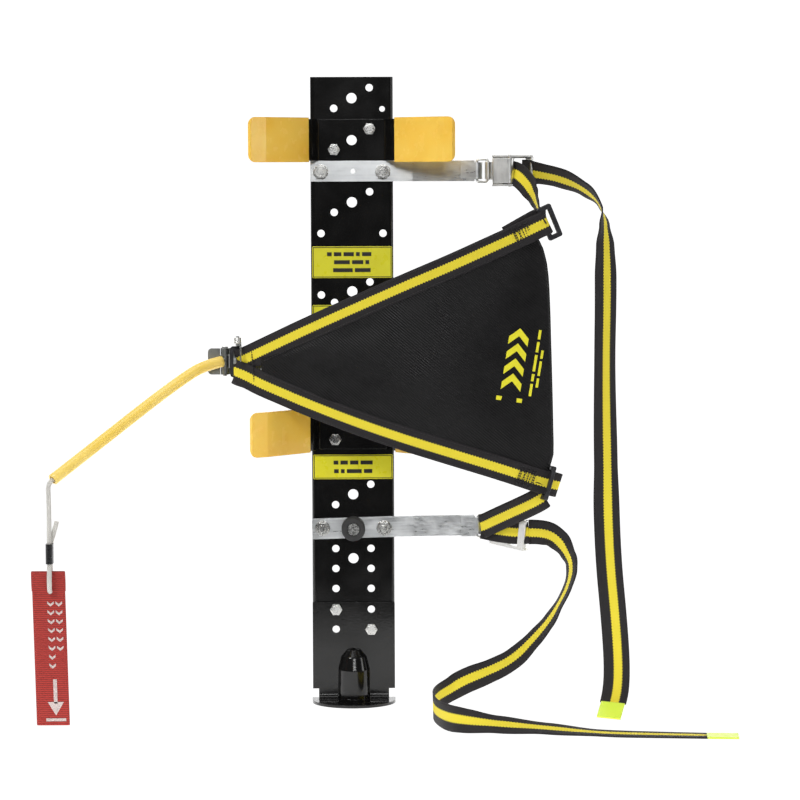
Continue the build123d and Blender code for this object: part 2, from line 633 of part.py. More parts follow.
def cord_tube(name, route, radius, bore=0.0):
    """A round cord along its route: straight runs joined by the largest arcs that they allow."""
    points = [Vector(x, front(d), z) for x, d, z in route]
    radii = []
    for before, here, after in zip(points, points[1:], points[2:]):
        turn = (here - before).get_angle(after - here)
        shorter = min((here - before).length, (after - here).length)
        radii.append(0.45 * shorter / math.tan(math.radians(turn / 2)))
    path = FilletPolyline(*points, radius=radii)
    section = Circle(radius) - Circle(bore) if bore else Circle(radius)
    solid = sweep(Plane(origin=path @ 0, z_dir=path % 0) * section, path=path)
    area = math.pi * (radius**2 - bore**2)
    print(f"{name}: length {path.length:.0f}, arc radii", [round(r) for r in radii])
    print(f"{name}: volume {solid.volume:.0f}, section times length {area * path.length:.0f}")
    return solid, path


def strap_tip(path, across, drop=0.0):
    """The dipped end of a strap tail, face to face with the end of its run."""
    section = Plane(origin=path @ 1 - Vector(0, 0, drop), x_dir=across, z_dir=path % 1)
    return extrude(section * Rectangle(WEB, TIP_SHEET), TIP_LENGTH)


def crimp_sleeve(cord):
    """The sleeve pressed round both legs of the cord's loop."""
    shell = extrude(SlotOverall(*SLEEVE_SECTION), SLEEVE_HEIGHT)
    return Pos(TAG_X, front(TAG_D), SLEEVE_BOTTOM) * Rot(0, 0, 90) * shell - cord


def pull_tag():
    """Folded tape with a hole for the cord's loop."""
    tape = RectangleRounded(TAG_WIDTH, TAG_TOP - TAG_BOTTOM, 2.0)
    middle = (TAG_BOTTOM + TAG_TOP) / 2
    solid = from_front(tape, TAG_X, middle, TAG_D - TAG_SHEET / 2, TAG_D + TAG_SHEET / 2)
    return solid - rod_y(TAG_X, TAG_HOLE_Z, TAG_D - 5, TAG_D + 5, TAG_HOLE_R)


# ---- Whole object ----
def build():
    parts = {"back_plate": back_plate()}

    bolts = {
        "upper": [(PAIR_X, UPPER_CLIP_ROW), (-PAIR_X, UPPER_CLIP_ROW - DIAGONAL_FALL)],
        "lower": [(PAIR_X, LOWER_CLIP_PAIR[0]), (-PAIR_X, LOWER_CLIP_PAIR[1])],
    }
    clip_bolt_places = bolts["upper"] + bolts["lower"]
    for name, z in CLIP_HEIGHTS.items():
        clip = cradle_clip(z, bolts[name])
        parts[f"{name}_cradle_clip"] = clip
        for side, word in ((-1, "left"), (1, "right")):
            parts[f"{name}_{word}_wing_sleeve"] = wing_sleeve(side, z, clip)
    parts["clip_bolts"] = [bolt_through(x, z, CLIP_SHEET) for x, z in clip_bolt_places]
    parts["clip_nuts"] = [rear_nut(x, z) for x, z in clip_bolt_places]

    small_x, small_z, small_r = SMALL_HOLES[1]
    upper = drilled(strap_bar(UPPER_BAR_Z), UPPER_BAR_ROW)
    parts["upper_bar"] = upper - rod_y(small_x, small_z, -2, 6, small_r)
    tilted = Pos(0, 0, LOWER_BAR_Z) * Rot(0, -LOWER_BAR_TILT, 0)
    lower = drilled(tilted * strap_bar(0), LOWER_BAR_ROW)
    parts["lower_bar"] = lower - rod_y(0, LOWER_BAR_Z, -2, 6, BUMPER_BORE_R)
    parts["latch_bar"] = drilled(latch_bar(), LATCH_BAR_ROW) - rivet_bores()
    bar_places = [(side * SIDE_X, z) for z in BAR_ROWS for side in (-1, 1)]
    parts["bar_bolts"] = [stud_bolt(x, z, BAR_SHEET) for x, z in bar_places]
    parts["bar_washers"] = [front_washer(x, z, BAR_SHEET) for x, z in bar_places]
    parts["bar_nuts"] = [front_nut(x, z, BAR_SHEET) for x, z in bar_places]

    parts["rubber_bumper"] = rubber_bumper(BAR_SHEET)
    parts["bumper_screw"] = bumper_screw(BAR_SHEET)
    parts["foot_bracket"] = foot_bracket()
    foot_places = [(-PAIR_X, FOOT_ROWS[1]), (PAIR_X, FOOT_ROWS[0])]
    parts["foot_bolts"] = [bolt_through(x, z, FOOT_SHEET) for x, z in foot_places]
    parts["foot_nuts"] = [rear_nut(x, z) for x, z in foot_places]
    for name, span in LABEL_SPANS.items():
        parts[f"{name}_label"] = label(*span)

    lower_eye_z = LOWER_BAR_Z + EYE[0] * math.tan(math.radians(LOWER_BAR_TILT))
    places = {
        "upper": adjuster_place(UPPER_BAR_Z, UPPER_ADJUSTER_TURN, 0, 0),
        "lower": adjuster_place(lower_eye_z, LOWER_ADJUSTER_TURN, LOWER_ADJUSTER_DROOP, 180),
    }
    for name, place in places.items():
        parts[f"{name}_swivel_ring"] = place * swivel_ring()
        parts[f"{name}_adjuster_frame"] = place * adjuster_frame()
        parts[f"{name}_cam_lever"] = place * cam_lever()
        parts[f"{name}_cam_pin"] = place * cam_pin()
        parts[f"{name}_end_bar"] = place * end_bar()
        through = (place * Pos(CAM_PIN[0], CAM_PIN[1], 0)).position
        along = (place * Pos(0, 0, 1)).position - place.position
        print(name, "cam axis through", through, "direction", along)
    parts["upper_link_strap"] = upper_link_strap()
    parts["lower_link_strap"] = lower_link_strap()

    web_outer = FABRIC_SHEET + WEB_SHEET
    parts["panel_fabric"] = panel_fabric()
    lower_web = edge_webbing(LOWER_STRIPE, FABRIC_SHEET, web_outer)
    parts["lower_edge_webbing"] = lower_web
    parts["upper_edge_webbing"] = edge_webbing(UPPER_STRIPE, FABRIC_SHEET, web_outer) - lower_web
    parts["upper_ring"] = corner_ring(UPPER_RING_CENTRE, UPPER_RING_LEAN, True)
    parts["lower_ring"] = corner_ring(LOWER_RING_CENTRE, LOWER_RING_LEAN, False)
    parts["apex_loop"] = apex_loop()

    parts["latch_bracket"] = latch_bracket()
    parts["latch_rivets"] = latch_rivets()
    parts["latch_pin"] = latch_pin()
    parts["release_lever"] = release_lever()
    parts["keeper_spring"] = keeper_spring()

    parts["release_tube"], _ = cord_tube("release tube", TUBE_ROUTE, TUBE_R)
    parts["pull_cord"], _ = cord_tube("pull cord", CORD_ROUTE, CORD_R)
    parts["crimp_sleeve"] = crimp_sleeve(parts["pull_cord"])
    parts["pull_tag"] = pull_tag()
    parts["upper_tail"], upper_end = cord_tube("upper tail", UPPER_TAIL_ROUTE, TAIL_R)
    parts["upper_tail_tip"] = strap_tip(upper_end, (1, 0, 0))
    parts["lower_tail"], lower_end = cord_tube("lower tail", LOWER_TAIL_ROUTE, TAIL_R)
    parts["lower_tail_tip"] = strap_tip(lower_end, (0, 1, 0), LOWER_TIP_DROP)
    return parts


def export(parts):
    os.makedirs("parts", exist_ok=True)
    to_frame = Pos(0, -ORIGIN_Y, -ORIGIN_Z)
    for name, shape in parts.items():
        pieces = shape if isinstance(shape, list) else [shape]
        moved = [to_frame * solid for piece in pieces for solid in piece.solids()]
        whole = moved[0] if len(moved) == 1 else Compound(children=moved)
        export_step(whole, f"parts/{name}.step")


export(build())
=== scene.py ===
import math

import bmesh
import bpy
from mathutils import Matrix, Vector


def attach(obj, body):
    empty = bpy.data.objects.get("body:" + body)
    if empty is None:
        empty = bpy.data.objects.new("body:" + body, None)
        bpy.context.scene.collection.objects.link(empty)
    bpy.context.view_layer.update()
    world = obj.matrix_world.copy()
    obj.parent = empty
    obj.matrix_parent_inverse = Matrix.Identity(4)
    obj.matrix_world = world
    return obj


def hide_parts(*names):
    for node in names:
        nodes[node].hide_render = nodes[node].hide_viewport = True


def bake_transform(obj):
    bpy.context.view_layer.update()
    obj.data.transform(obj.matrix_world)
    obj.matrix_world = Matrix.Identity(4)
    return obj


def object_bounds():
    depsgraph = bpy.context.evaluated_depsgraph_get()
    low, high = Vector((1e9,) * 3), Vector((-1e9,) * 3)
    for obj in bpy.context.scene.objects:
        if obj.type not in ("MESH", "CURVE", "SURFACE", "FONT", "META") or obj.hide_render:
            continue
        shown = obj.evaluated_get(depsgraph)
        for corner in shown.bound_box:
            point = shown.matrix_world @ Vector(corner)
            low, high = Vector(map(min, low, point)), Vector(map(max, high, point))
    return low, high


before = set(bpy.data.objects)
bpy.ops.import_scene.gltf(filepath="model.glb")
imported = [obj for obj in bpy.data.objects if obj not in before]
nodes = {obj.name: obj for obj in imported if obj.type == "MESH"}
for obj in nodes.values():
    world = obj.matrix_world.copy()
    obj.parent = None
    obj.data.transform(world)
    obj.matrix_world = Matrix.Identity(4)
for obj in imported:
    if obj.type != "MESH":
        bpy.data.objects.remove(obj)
cad_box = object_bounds()
scene = bpy.context.scene

# Routes and outlines are in millimetres, and so are these two. The sizes after them are in metres.
WEB = 25.4
LABEL_FRONT = 0.4
WEB_THICK = 0.0014
UPPER_TAIL_WIDTH = 0.0282
LOWER_TAIL_WIDTH = 0.0268
TUBE_RADIUS, TUBE_BORE = 0.006, 0.0041
CORD_RADIUS = 0.0025
FLOOR_Z = cad_box[0][2]
FULL_TURN = 2 * math.pi


def at(x, d, z):
    """The place, in metres, of a route point: X, depth in front of the plate and height above the foot."""
    return Vector((x, -(3.0 + d), z - 472.85)) / 1000


def link(obj):
    scene.collection.objects.link(obj)
    return obj


# ---------------------------------------------------------------- materials
class Look:
    """A principled material with a few shortcuts for building its patterns."""

    def __init__(self, name, base, rough, metal=0.0, **sockets):
        self.mat = bpy.data.materials.new(name)
        self.mat.use_nodes = True
        self.tree = self.mat.node_tree
        self.bsdf = self.tree.nodes["Principled BSDF"]
        self.set("Base Color", (*base, 1))
        self.set("Roughness", rough)
        self.set("Metallic", metal)
        for key, value in sockets.items():
            self.set(key.replace("_", " "), value)
        self.mat.diffuse_color = (*base, 1)
        coords = self.node("ShaderNodeTexCoord")
        self.object = coords.outputs["Object"]
        self.uv = coords.outputs["UV"]

    def set(self, name, value):
        self.bsdf.inputs[name].default_value = value

    def node(self, kind, **inputs):
        made = self.tree.nodes.new(kind)
        for key, value in inputs.items():
            self.feed(made.inputs[key.replace("_", " ")], value)
        return made

    def feed(self, socket, value):
        if isinstance(value, bpy.types.NodeSocket):
            self.tree.links.new(value, socket)
        else:
            socket.default_value = value

    def math(self, operation, a, b=0.0, c=0.0):
        made = self.tree.nodes.new("ShaderNodeMath")
        made.operation = operation
        for socket, value in zip(made.inputs, (a, b, c)):
            self.feed(socket, value)
        return made.outputs[0]

    def split(self, vector):
        made = self.node("ShaderNodeSeparateXYZ", Vector=vector)
        return made.outputs

    def scaled(self, vector, scale, rotate=(0, 0, 0)):
        return self.node("ShaderNodeMapping", Vector=vector, Scale=scale, Rotation=rotate).outputs[0]

    def noise(self, vector, scale, detail=3.0, rough=0.55):
        made = self.node("ShaderNodeTexNoise", Vector=vector, Scale=scale, Detail=detail, Roughness=rough)
        return made.outputs["Fac"]

    def fit(self, value, low, high, new_low, new_high):
        made = self.tree.nodes.new("ShaderNodeMapRange")
        made.clamp = True
        values = {"Value": value, "From Min": low, "From Max": high, "To Min": new_low, "To Max": new_high}
        for key, item in values.items():
            self.feed(made.inputs[key], item)
        return made.outputs[0]

    def wave(self, value, period):
        """A sine of a length in metres."""
        return self.math("SINE", self.math("MULTIPLY", value, FULL_TURN / period))

    def mix(self, factor, a, b):
        made = self.tree.nodes.new("ShaderNodeMix")
        made.data_type = "RGBA"
        self.feed(made.inputs[0], factor)
        for socket, value in ((made.inputs[6], a), (made.inputs[7], b)):
            self.feed(socket, (*value, 1) if isinstance(value, tuple) and len(value) == 3 else value)
        return made.outputs[2]

    def colour(self, value):
        self.feed(self.bsdf.inputs["Base Color"], value)

    def rough(self, value):
        self.feed(self.bsdf.inputs["Roughness"], value)

    def bump(self, height, distance, strength=1.0, normal=None):
        made = self.node("ShaderNodeBump", Height=height, Distance=distance, Strength=strength)
        if normal is not None:
            self.feed(made.inputs["Normal"], normal)
        self.tree.links.new(made.outputs[0], self.bsdf.inputs["Normal"])
        return made.outputs[0]

    def bevel(self, radius):
        made = self.node("ShaderNodeBevel", Radius=radius)
        made.samples = 4
        self.tree.links.new(made.outputs[0], self.bsdf.inputs["Normal"])
        return made.outputs[0]


def paint(name, base):
    """Gloss black paint with orange peel, a little dust and small chips showing lighter."""
    look = Look(name, base, 0.14, Specular_IOR_Level=0.4)
    dust = look.noise(look.object, 46.0, 5.0, 0.62)
    specks = look.fit(look.noise(look.object, 1300.0, 2.0), 0.69, 0.75, 0.0, 0.5)
    shade = look.mix(look.fit(dust, 0.45, 0.75, 0.0, 0.5), base, tuple(c * 2.6 for c in base))
    look.colour(look.mix(specks, shade, (0.07, 0.07, 0.07)))
    look.rough(look.fit(look.noise(look.object, 21.0, 4.0), 0.3, 0.7, 0.09, 0.2))
    look.bump(look.noise(look.object, 420.0, 2.0), 0.00006, 0.5, look.bevel(0.0008))
    return look.mat


def metal(name, base, rough, streak=(30.0, 900.0, 900.0), wear=0.25, radius=0.0005, weight=1.0):
    """Plated steel: fine draw marks along the stock, cloudy plating and duller patches."""
    look = Look(name, base, rough, weight)
    marks = look.noise(look.scaled(look.object, streak), 1.0, 3.0, 0.6)
    cloud = look.noise(look.object, 55.0, 5.0, 0.6)
    bright = look.mix(look.fit(cloud, 0.32, 0.68, 0.0, 1.0), tuple(c * (1 - wear) for c in base), base)
    drawn = tuple(min(1.0, c * 1.12) for c in base)
    look.colour(look.mix(look.fit(marks, 0.35, 0.65, 0.0, 0.35), bright, drawn))
    worn = look.fit(marks, 0.3, 0.7, rough - 0.06, rough + 0.09)
    look.rough(look.math("ADD", worn, look.fit(cloud, 0.35, 0.7, 0.0, 0.1)))
    look.bump(marks, 0.00004, 0.5, look.bevel(radius))
    return look.mat


def vinyl(name, base, deep, rough=0.36, soft=0.12):
    """Soft dipped vinyl: slightly cloudy colour, deeper where the dip ran thin."""
    look = Look(name, base, rough, Subsurface_Weight=soft, Subsurface_Scale=0.004, Specular_IOR_Level=0.45)
    look.set("Subsurface Radius", (1.0, 0.55, 0.15))
    cloud = look.noise(look.object, 32.0, 4.0, 0.55)
    look.colour(look.mix(look.fit(cloud, 0.35, 0.7, 0.0, 0.75), base, deep))
    look.rough(look.fit(look.noise(look.object, 90.0, 3.0), 0.3, 0.7, rough - 0.07, rough + 0.1))
    look.bump(look.noise(look.object, 260.0, 3.0), 0.0001, 0.4, look.bevel(0.0016))
    return look.mat


def webbing(name):
    """Woven tape from UV in metres: a black band each side, a yellow centre, slanted picks and painted weave
    shade.
    """
    black, yellow = (0.014, 0.0125, 0.0135), (0.86, 0.73, 0.045)
    look = Look(name, black, 0.72, Specular_IOR_Level=0.3)
    along, across, _ = look.split(look.uv)
    off = look.math("ABSOLUTE", look.math("SUBTRACT", across, WEB / 2000))
    # picks slant one way in the top half and the other way below, so they meet in a shallow chevron
    slant = look.math("MULTIPLY_ADD", off, 0.55, along)
    picks = look.wave(slant, 0.00155)
    weave = look.math("MULTIPLY_ADD", look.wave(across, 0.0011), 0.35, picks)
    fuzz = look.noise(look.uv, 2600.0, 2.0)
    # the stripe's half width, with a scalloped edge
    edge = look.math("MULTIPLY_ADD", look.wave(along, 0.0031), 0.00048, WEB / 5700)
    band = look.fit(look.math("SUBTRACT", edge, off), -0.00008, 0.00008, 0.0, 1.0)
    # painted shade: the yellow stripe and the black bands are coloured darker where the weave is low; the fuzz
    # adds random fibre tone
    fibre_tone_and_weave_shade = look.math("MULTIPLY_ADD", fuzz, 2.2, weave)
    yellow_with_weave_shade = look.mix(look.fit(fibre_tone_and_weave_shade, -0.5, 2.2, 0.0, 1.0), (0.68, 0.53, 0.025), yellow)
    dark = look.mix(look.fit(weave, -1.2, 1.2, 0.0, 1.0), (0.009, 0.008, 0.0085), (0.021, 0.018, 0.020))
    look.colour(look.mix(band, dark, yellow_with_weave_shade))
    height = look.math("MULTIPLY_ADD", fuzz, 0.5, weave)
    look.rough(look.fit(fuzz, 0.3, 0.7, 0.55, 0.8))
    look.bump(height, 0.00009, 0.7)
    return look.mat


def scrim(name):
    """Vinyl-coated mesh cloth: twill ridges, the finer threads that cross them, a sheen, and painted ridge
    light and shade.
    """
    look = Look(name, (0.006, 0.006, 0.006), 0.3, Specular_IOR_Level=0.26)
    twill = look.scaled(look.uv, (1, 1, 1), (0, 0, math.radians(40)))
    a, b, _ = look.split(twill)
    weave = look.math("MULTIPLY_ADD", look.wave(a, 0.00125), 0.4, look.wave(b, 0.0024))
    worn = look.noise(look.uv, 35.0, 5.0, 0.6)
    # painted highlight and shade: the twill ridges are coloured lighter and the hollows between them darker
    ridge_light_and_shade = look.fit(weave, -0.2, 1.4, 0.0, 1.0)
    look.colour(look.mix(ridge_light_and_shade, (0.004, 0.0038, 0.004), (0.011, 0.0105, 0.011)))
    gloss = look.fit(weave, -1.0, 1.4, 0.4, 0.24)
    look.rough(look.math("ADD", gloss, look.fit(worn, 0.35, 0.7, -0.03, 0.08)))
    look.bump(weave, 0.00014, 0.6)
    return look.mat


def plastic(name, base, rough, deep=None, scale=120.0):
    """Plain moulded plastic, rubber, film or ink: cloudy colour and a fine grain."""
    look = Look(name, base, rough)
    cloud = look.noise(look.object, scale, 4.0)
    look.colour(look.mix(look.fit(cloud, 0.35, 0.7, 0.0, 0.6), base, deep or tuple(c * 0.8 for c in base)))
    look.rough(look.fit(look.noise(look.object, scale * 2.5, 3.0), 0.3, 0.7, rough - 0.06, rough + 0.1))
    look.bump(look.noise(look.object, scale * 8, 2.0), 0.00006, 0.4, look.bevel(0.0004))
    return look.mat


def braid(name):
    """Braided cord from UV in metres: strands that cross at a shallow angle, with painted shade between them.
    """
    look = Look(name, (0.74, 0.72, 0.66), 0.75, Sheen_Weight=0.3)
    along, around, _ = look.split(look.uv)
    up, down = (look.wave(look.math("MULTIPLY_ADD", around, lay, along), 0.0021) for lay in (0.8, -0.8))
    height = look.math("MAXIMUM", up, down)
    # painted shade: the colour darkens where the strands are low, in the grooves between them
    look.colour(look.mix(look.fit(height, -0.6, 1.0, 0.0, 1.0), (0.30, 0.29, 0.27), (0.80, 0.78, 0.73)))
    look.bump(height, 0.00028, 0.8)
    return look.mat


def ribbed_tape(name):
    """Red ribbed tape from UV in metres, with painted shade in the grooves between its ribs."""
    look = Look(name, (0.45, 0.026, 0.016), 0.75, Sheen_Weight=0.08)
    along, across, _ = look.split(look.uv)
    height = look.math("MULTIPLY_ADD", look.wave(across, 0.0009), 0.25, look.wave(along, 0.0021))
    cloud = look.noise(look.uv, 60.0, 4.0)
    tone = look.mix(look.fit(cloud, 0.35, 0.7, 0.0, 0.5), (0.45, 0.026, 0.016), (0.35, 0.019, 0.013))
    # painted shade: the grooves between the ribs are coloured a deep dark red
    look.colour(look.mix(look.fit(height, -1.2, 0.4, 0.0, 1.0), (0.15, 0.009, 0.008), tone))
    look.bump(height, 0.0002, 0.8)
    return look.mat


def thread(name, base):
    """Twisted thread, with painted shade between its strands."""
    look = Look(name, base, 0.6)
    twist = look.noise(look.object, 1800.0, 2.0)
    # painted shade: the colour is halved where the twist is low
    look.colour(look.mix(look.fit(twist, 0.35, 0.65, 0.0, 1.0), tuple(c * 0.5 for c in base), base))
    look.bump(twist, 0.0001, 0.5)
    return look.mat


PAINT = paint("black_paint", (0.0042, 0.0041, 0.004))
ZINC = metal("bright_zinc", (0.80, 0.82, 0.83), 0.3, (25.0, 700.0, 700.0), 0.16)
STEEL = metal("fastener_zinc", (0.74, 0.74, 0.72), 0.22, (700.0, 700.0, 700.0), 0.3, 0.0011)
ADJUSTER = metal("adjuster_plate", (0.82, 0.82, 0.80), 0.3, (900.0, 900.0, 60.0), 0.14, 0.0006)
DULL = metal("dull_zinc", (0.30, 0.31, 0.30), 0.42, (500.0, 500.0, 120.0), 0.35, 0.0006)
BLACK_STEEL = metal("black_steel", (0.045, 0.045, 0.05), 0.38, (400.0, 400.0, 400.0), 0.4, 0.0007, 0.6)
DIP = vinyl("yellow_dip", (0.95, 0.60, 0.10), (0.90, 0.50, 0.05), 0.22)
WEBBING = webbing("striped_webbing")
SCRIM = scrim("coated_mesh")
LABEL = plastic("label_film", (0.80, 0.76, 0.03), 0.3, (0.72, 0.66, 0.02), 60.0)
INK = plastic("label_ink", (0.016, 0.015, 0.012), 0.35)
MARK = plastic("panel_mark_ink", (0.84, 0.78, 0.03), 0.42, (0.72, 0.64, 0.02), 300.0)
RUBBER = plastic("bumper_rubber", (0.016, 0.016, 0.017), 0.62, (0.028, 0.027, 0.026), 300.0)
TUBING = vinyl("yellow_tubing", (0.92, 0.68, 0.17), (0.88, 0.60, 0.09), 0.25, 0.0)
CORD = braid("white_cord")
SLEEVE = plastic("sleeve_plastic", (0.014, 0.014, 0.015), 0.28)
TAPE = ribbed_tape("red_tape")
TIP = vinyl("lime_dip", (0.72, 0.92, 0.09), (0.66, 0.86, 0.05), 0.35)
DARK_THREAD = thread("dark_thread", (0.012, 0.011, 0.012))
WOVEN_WHITE = thread("woven_white", (0.72, 0.60, 0.57))

CAD_LOOKS = {
    PAINT: ["back_plate", "upper_cradle_clip", "lower_cradle_clip", "foot_bracket"],
    ZINC: ["upper_bar", "lower_bar", "latch_bar"],
    STEEL: ["clip_bolts", "clip_nuts", "bar_bolts", "bar_washers", "bar_nuts", "bumper_screw", "foot_bolts",
            "foot_nuts", "latch_rivets", "latch_pin", "keeper_spring"],
    ADJUSTER: [f"{row}_{piece}" for row in ("upper", "lower")
               for piece in ("swivel_ring", "adjuster_frame", "cam_lever", "cam_pin", "end_bar")],
    DIP: [f"{row}_{side}_wing_sleeve" for row in ("upper", "lower") for side in ("left", "right")],
    DULL: ["latch_bracket", "release_lever"],
    BLACK_STEEL: ["upper_ring", "lower_ring", "apex_loop"],
    RUBBER: ["rubber_bumper"],
    LABEL: ["upper_label", "middle_label", "lower_label"],
    SLEEVE: ["crimp_sleeve"],
    TIP: ["upper_tail_tip", "lower_tail_tip"],
}
for mat, names in CAD_LOOKS.items():
    for name in names:
        slots = nodes[name].material_slots
        for slot in slots:
            slot.material = mat
        if not slots:
            nodes[name].data.materials.append(mat)


# ---------------------------------------------------------------- building tools
def mesh_object(name, verts, faces, uvs, mat, smooth=True):
    """uvs has one (u, v) per vertex of each face, face by face."""
    mesh = bpy.data.meshes.new(name)
    mesh.from_pydata([tuple(v) for v in verts], [], faces)
    if uvs is not None:
        layer = mesh.uv_layers.new(name="UVMap")
        flat = [uv for face in uvs for uv in face]
        for loop, uv in zip(layer.data, flat):
            loop.uv = uv
    mesh.materials.append(mat)
    mesh.polygons.foreach_set("use_smooth", [smooth] * len(mesh.polygons))
    mesh.validate()
    mesh.update()
    return link(bpy.data.objects.new(name, mesh))


def nurbs_line(name, route, resolution=10):
    """Points along the smooth NURBS line that has this route as its control points."""
    data = bpy.data.curves.new(name, "CURVE")
    data.dimensions = "3D"
    data.resolution_u = resolution
    spline = data.splines.new("NURBS")
    spline.points.add(len(route) - 1)
    for point, place in zip(spline.points, route):
        point.co = (*at(*place), 1)
    spline.order_u = 3
    spline.use_endpoint_u = True
    obj = link(bpy.data.objects.new(name, data))
    bpy.context.view_layer.update()
    mesh = bpy.data.meshes.new_from_object(obj)
    line = [v.co.copy() for v in mesh.vertices]
    bpy.data.objects.remove(obj)
    bpy.data.meshes.remove(mesh)
    return line


def tangents(line):
    out = []
    for i in range(len(line)):
        out.append((line[min(i + 1, len(line) - 1)] - line[max(i - 1, 0)]).normalized())
    return out


def lengths(line):
    total = [0.0]
    for a, b in zip(line, line[1:]):
        total.append(total[-1] + (b - a).length)
    return total


def grown(hints, line, controls):
    """Across directions for every point of a line, from directions given at some control points."""
    out = []
    for i in range(len(line)):
        place = i / (len(line) - 1) * (controls - 2) + 0.5
        keys = sorted(hints)
        low = max([k for k in keys if k <= place], default=keys[0])
        high = min([k for k in keys if k >= place], default=keys[-1])
        t = 0.0 if high == low else (place - low) / (high - low)
        t = t * t * (3 - 2 * t)
        out.append(Vector(hints[low]).normalized().lerp(Vector(hints[high]).normalized(), t))
    return out


def ribbon(name, line, across, mat, width=WEB / 1000, thick=WEB_THICK, steps=10):
    """Tape along a line with soft edges; UV is along and across, in metres."""
    tans, runs = tangents(line), lengths(line)
    half, rim = width / 2, thick / 2
    profile = []
    for i in range(steps + 1):
        t = -1 + 2 * i / steps
        profile.append((t * (half - rim * 0.7), rim * (1.0 + 0.12 * (abs(t) > 0.93))))
    profile.append((half, 0.0))
    profile += [(a, -b) for a, b in reversed(profile[:-1])]
    profile.append((-half, 0.0))
    count = len(profile)
    verts = []
    for point, tangent, side in zip(line, tans, across):
        side = (side - side.dot(tangent) * tangent).normalized()
        normal = tangent.cross(side)
        verts += [point + side * a + normal * b for a, b in profile]
    faces, uvs = [], []
    for i in range(len(line) - 1):
        for j in range(count):
            k = (j + 1) % count
            faces.append((i * count + j, i * count + k, (i + 1) * count + k, (i + 1) * count + j))
            ends = [(i, profile[j]), (i, profile[k]), (i + 1, profile[k]), (i + 1, profile[j])]
            uvs.append([(runs[row], p[0] + half) for row, p in ends])
    last = (len(line) - 1) * count
    faces += [tuple(range(count - 1, -1, -1)), tuple(range(last, last + count))]
    uvs += [[(0.0, profile[j][0] + half) for j in range(count - 1, -1, -1)],
            [(runs[-1], profile[j][0] + half) for j in range(count)]]
    return mesh_object(name, verts, faces, uvs, mat)


def tube(name, line, radius, mat, inner=0.0, sides=20):
    """Round tube or cord along a line, with softened ends; UV is along and around, in metres."""
    tans, runs = tangents(line), lengths(line)
    up = Vector((0.3, 0.2, 0.93))
    rings = []
    soft = min(radius * 0.25, 0.0006)
    stations = [(i, radius, runs[i]) for i in range(len(line))]
    stations = [(0, radius - soft, 0.0), *stations, (len(line) - 1, radius - soft, runs[-1])]
    shift = {0: -soft * 0.6, len(stations) - 1: soft * 0.6}
    for n, (i, r, run) in enumerate(stations):
        side = (up - up.dot(tans[i]) * tans[i]).normalized()
        up = side
        rings.append((line[i] + tans[i] * shift.get(n, 0.0), side, tans[i].cross(side), r, run))
    if inner:
        for i in (len(line) - 1, *range(len(line) - 2, 0, -1), 0):
            _, side, normal, _, run = rings[i + 1]
            rings.append((line[i] + tans[i] * (soft * 0.4 if i else -soft * 0.4), side, normal, inner, run))
    verts, faces, uvs = [], [], []
    for centre, side, normal, r, _ in rings:
        verts += [centre + (side * math.cos(a) + normal * math.sin(a)) * r
                  for a in (FULL_TURN * k / sides for k in range(sides))]
    pairs = list(zip(range(len(rings) - 1), range(1, len(rings))))
    if inner:
        pairs.append((len(rings) - 1, 0))
    for a, b in pairs:
        for j in range(sides):
            k = (j + 1) % sides
            faces.append((a * sides + j, a * sides + k, b * sides + k, b * sides + j))
            around = [FULL_TURN * radius * v / sides for v in (j, j + 1, j + 1, j)]
            uvs.append(list(zip((rings[a][4], rings[a][4], rings[b][4], rings[b][4]), around)))
    if not inner:
        last = (len(rings) - 1) * sides
        faces += [tuple(range(sides - 1, -1, -1)), tuple(range(last, last + sides))]
        uvs += [[(0, 0)] * sides, [(runs[-1], 0)] * sides]
    return mesh_object(name, verts, faces, uvs, mat)


# ---------------------------------------------------------------- camera
def look_at(obj, target, roll=0.0):
    direction = target - obj.location
    turn = direction.to_track_quat("-Z", "Y")
    obj.rotation_euler = turn.to_euler()
    obj.rotation_euler.rotate_axis("Z", roll)


camera = link(bpy.data.objects.new("camera", bpy.data.cameras.new("camera")))
camera.data.lens = 146.35
camera.data.sensor_width = 36.0
camera.location = (0.0, -3.503, 0.10575)
FRAME_CENTRE = Vector((0.0510, 0.0, -0.1470))
look_at(camera, FRAME_CENTRE, math.radians(-0.2))
scene.camera = camera

# ---------------------------------------------------------------- cords
# Each ACROSS table gives the way across the tape, as X, depth and height, at some of its route's points.
TUBE_ROUTE = [
    (-142.0, 47.0, 370.8), (-157.5, 55.5, 367.6), (-178.0, 70.0, 355.5), (-211.0, 97.0, 332.0),
    (-251.0, 127.0, 301.5), (-289.0, 154.8, 272.6), (-308.5, 169.0, 257.8),
]
CORD_ROUTE = [
    (-308.5, 169.0, 257.8), (-313.375, 172.55, 254.1), (-312.6, 173.4, 241.0), (-312.2, 175.0, 219.0),
    (-312.2, 177.5, 190.0), (-312.0, 179.5, 168.0), (-312.0, 183.0, 151.4), (-312.0, 179.5, 143.0),
    (-312.0, 169.5, 143.0), (-312.0, 166.0, 151.4), (-312.0, 169.5, 168.0), (-311.8, 171.5, 190.0),
    (-308.0, 173.0, 202.0), (-304.5, 174.0, 215.0),
]
UPPER_TAIL_ROUTE = [
    (197.5, 29.0, 570.0), (223.0, 33.0, 565.0), (249.0, 37.0, 553.0), (267.6, 40.0, 534.0),
    (269.4, 42.0, 494.0), (269.8, 43.0, 436.0), (268.6, 44.0, 378.0), (268.8, 45.0, 320.0),
    (269.8, 46.0, 262.0), (270.6, 46.0, 204.0), (273.2, 47.0, 150.0), (277.6, 48.0, 104.0),
    (280.8, 50.0, 62.0), (281.4, 53.0, 34.0), (279.2, 60.0, 14.0), (275.2, 77.0, 7.6),
]
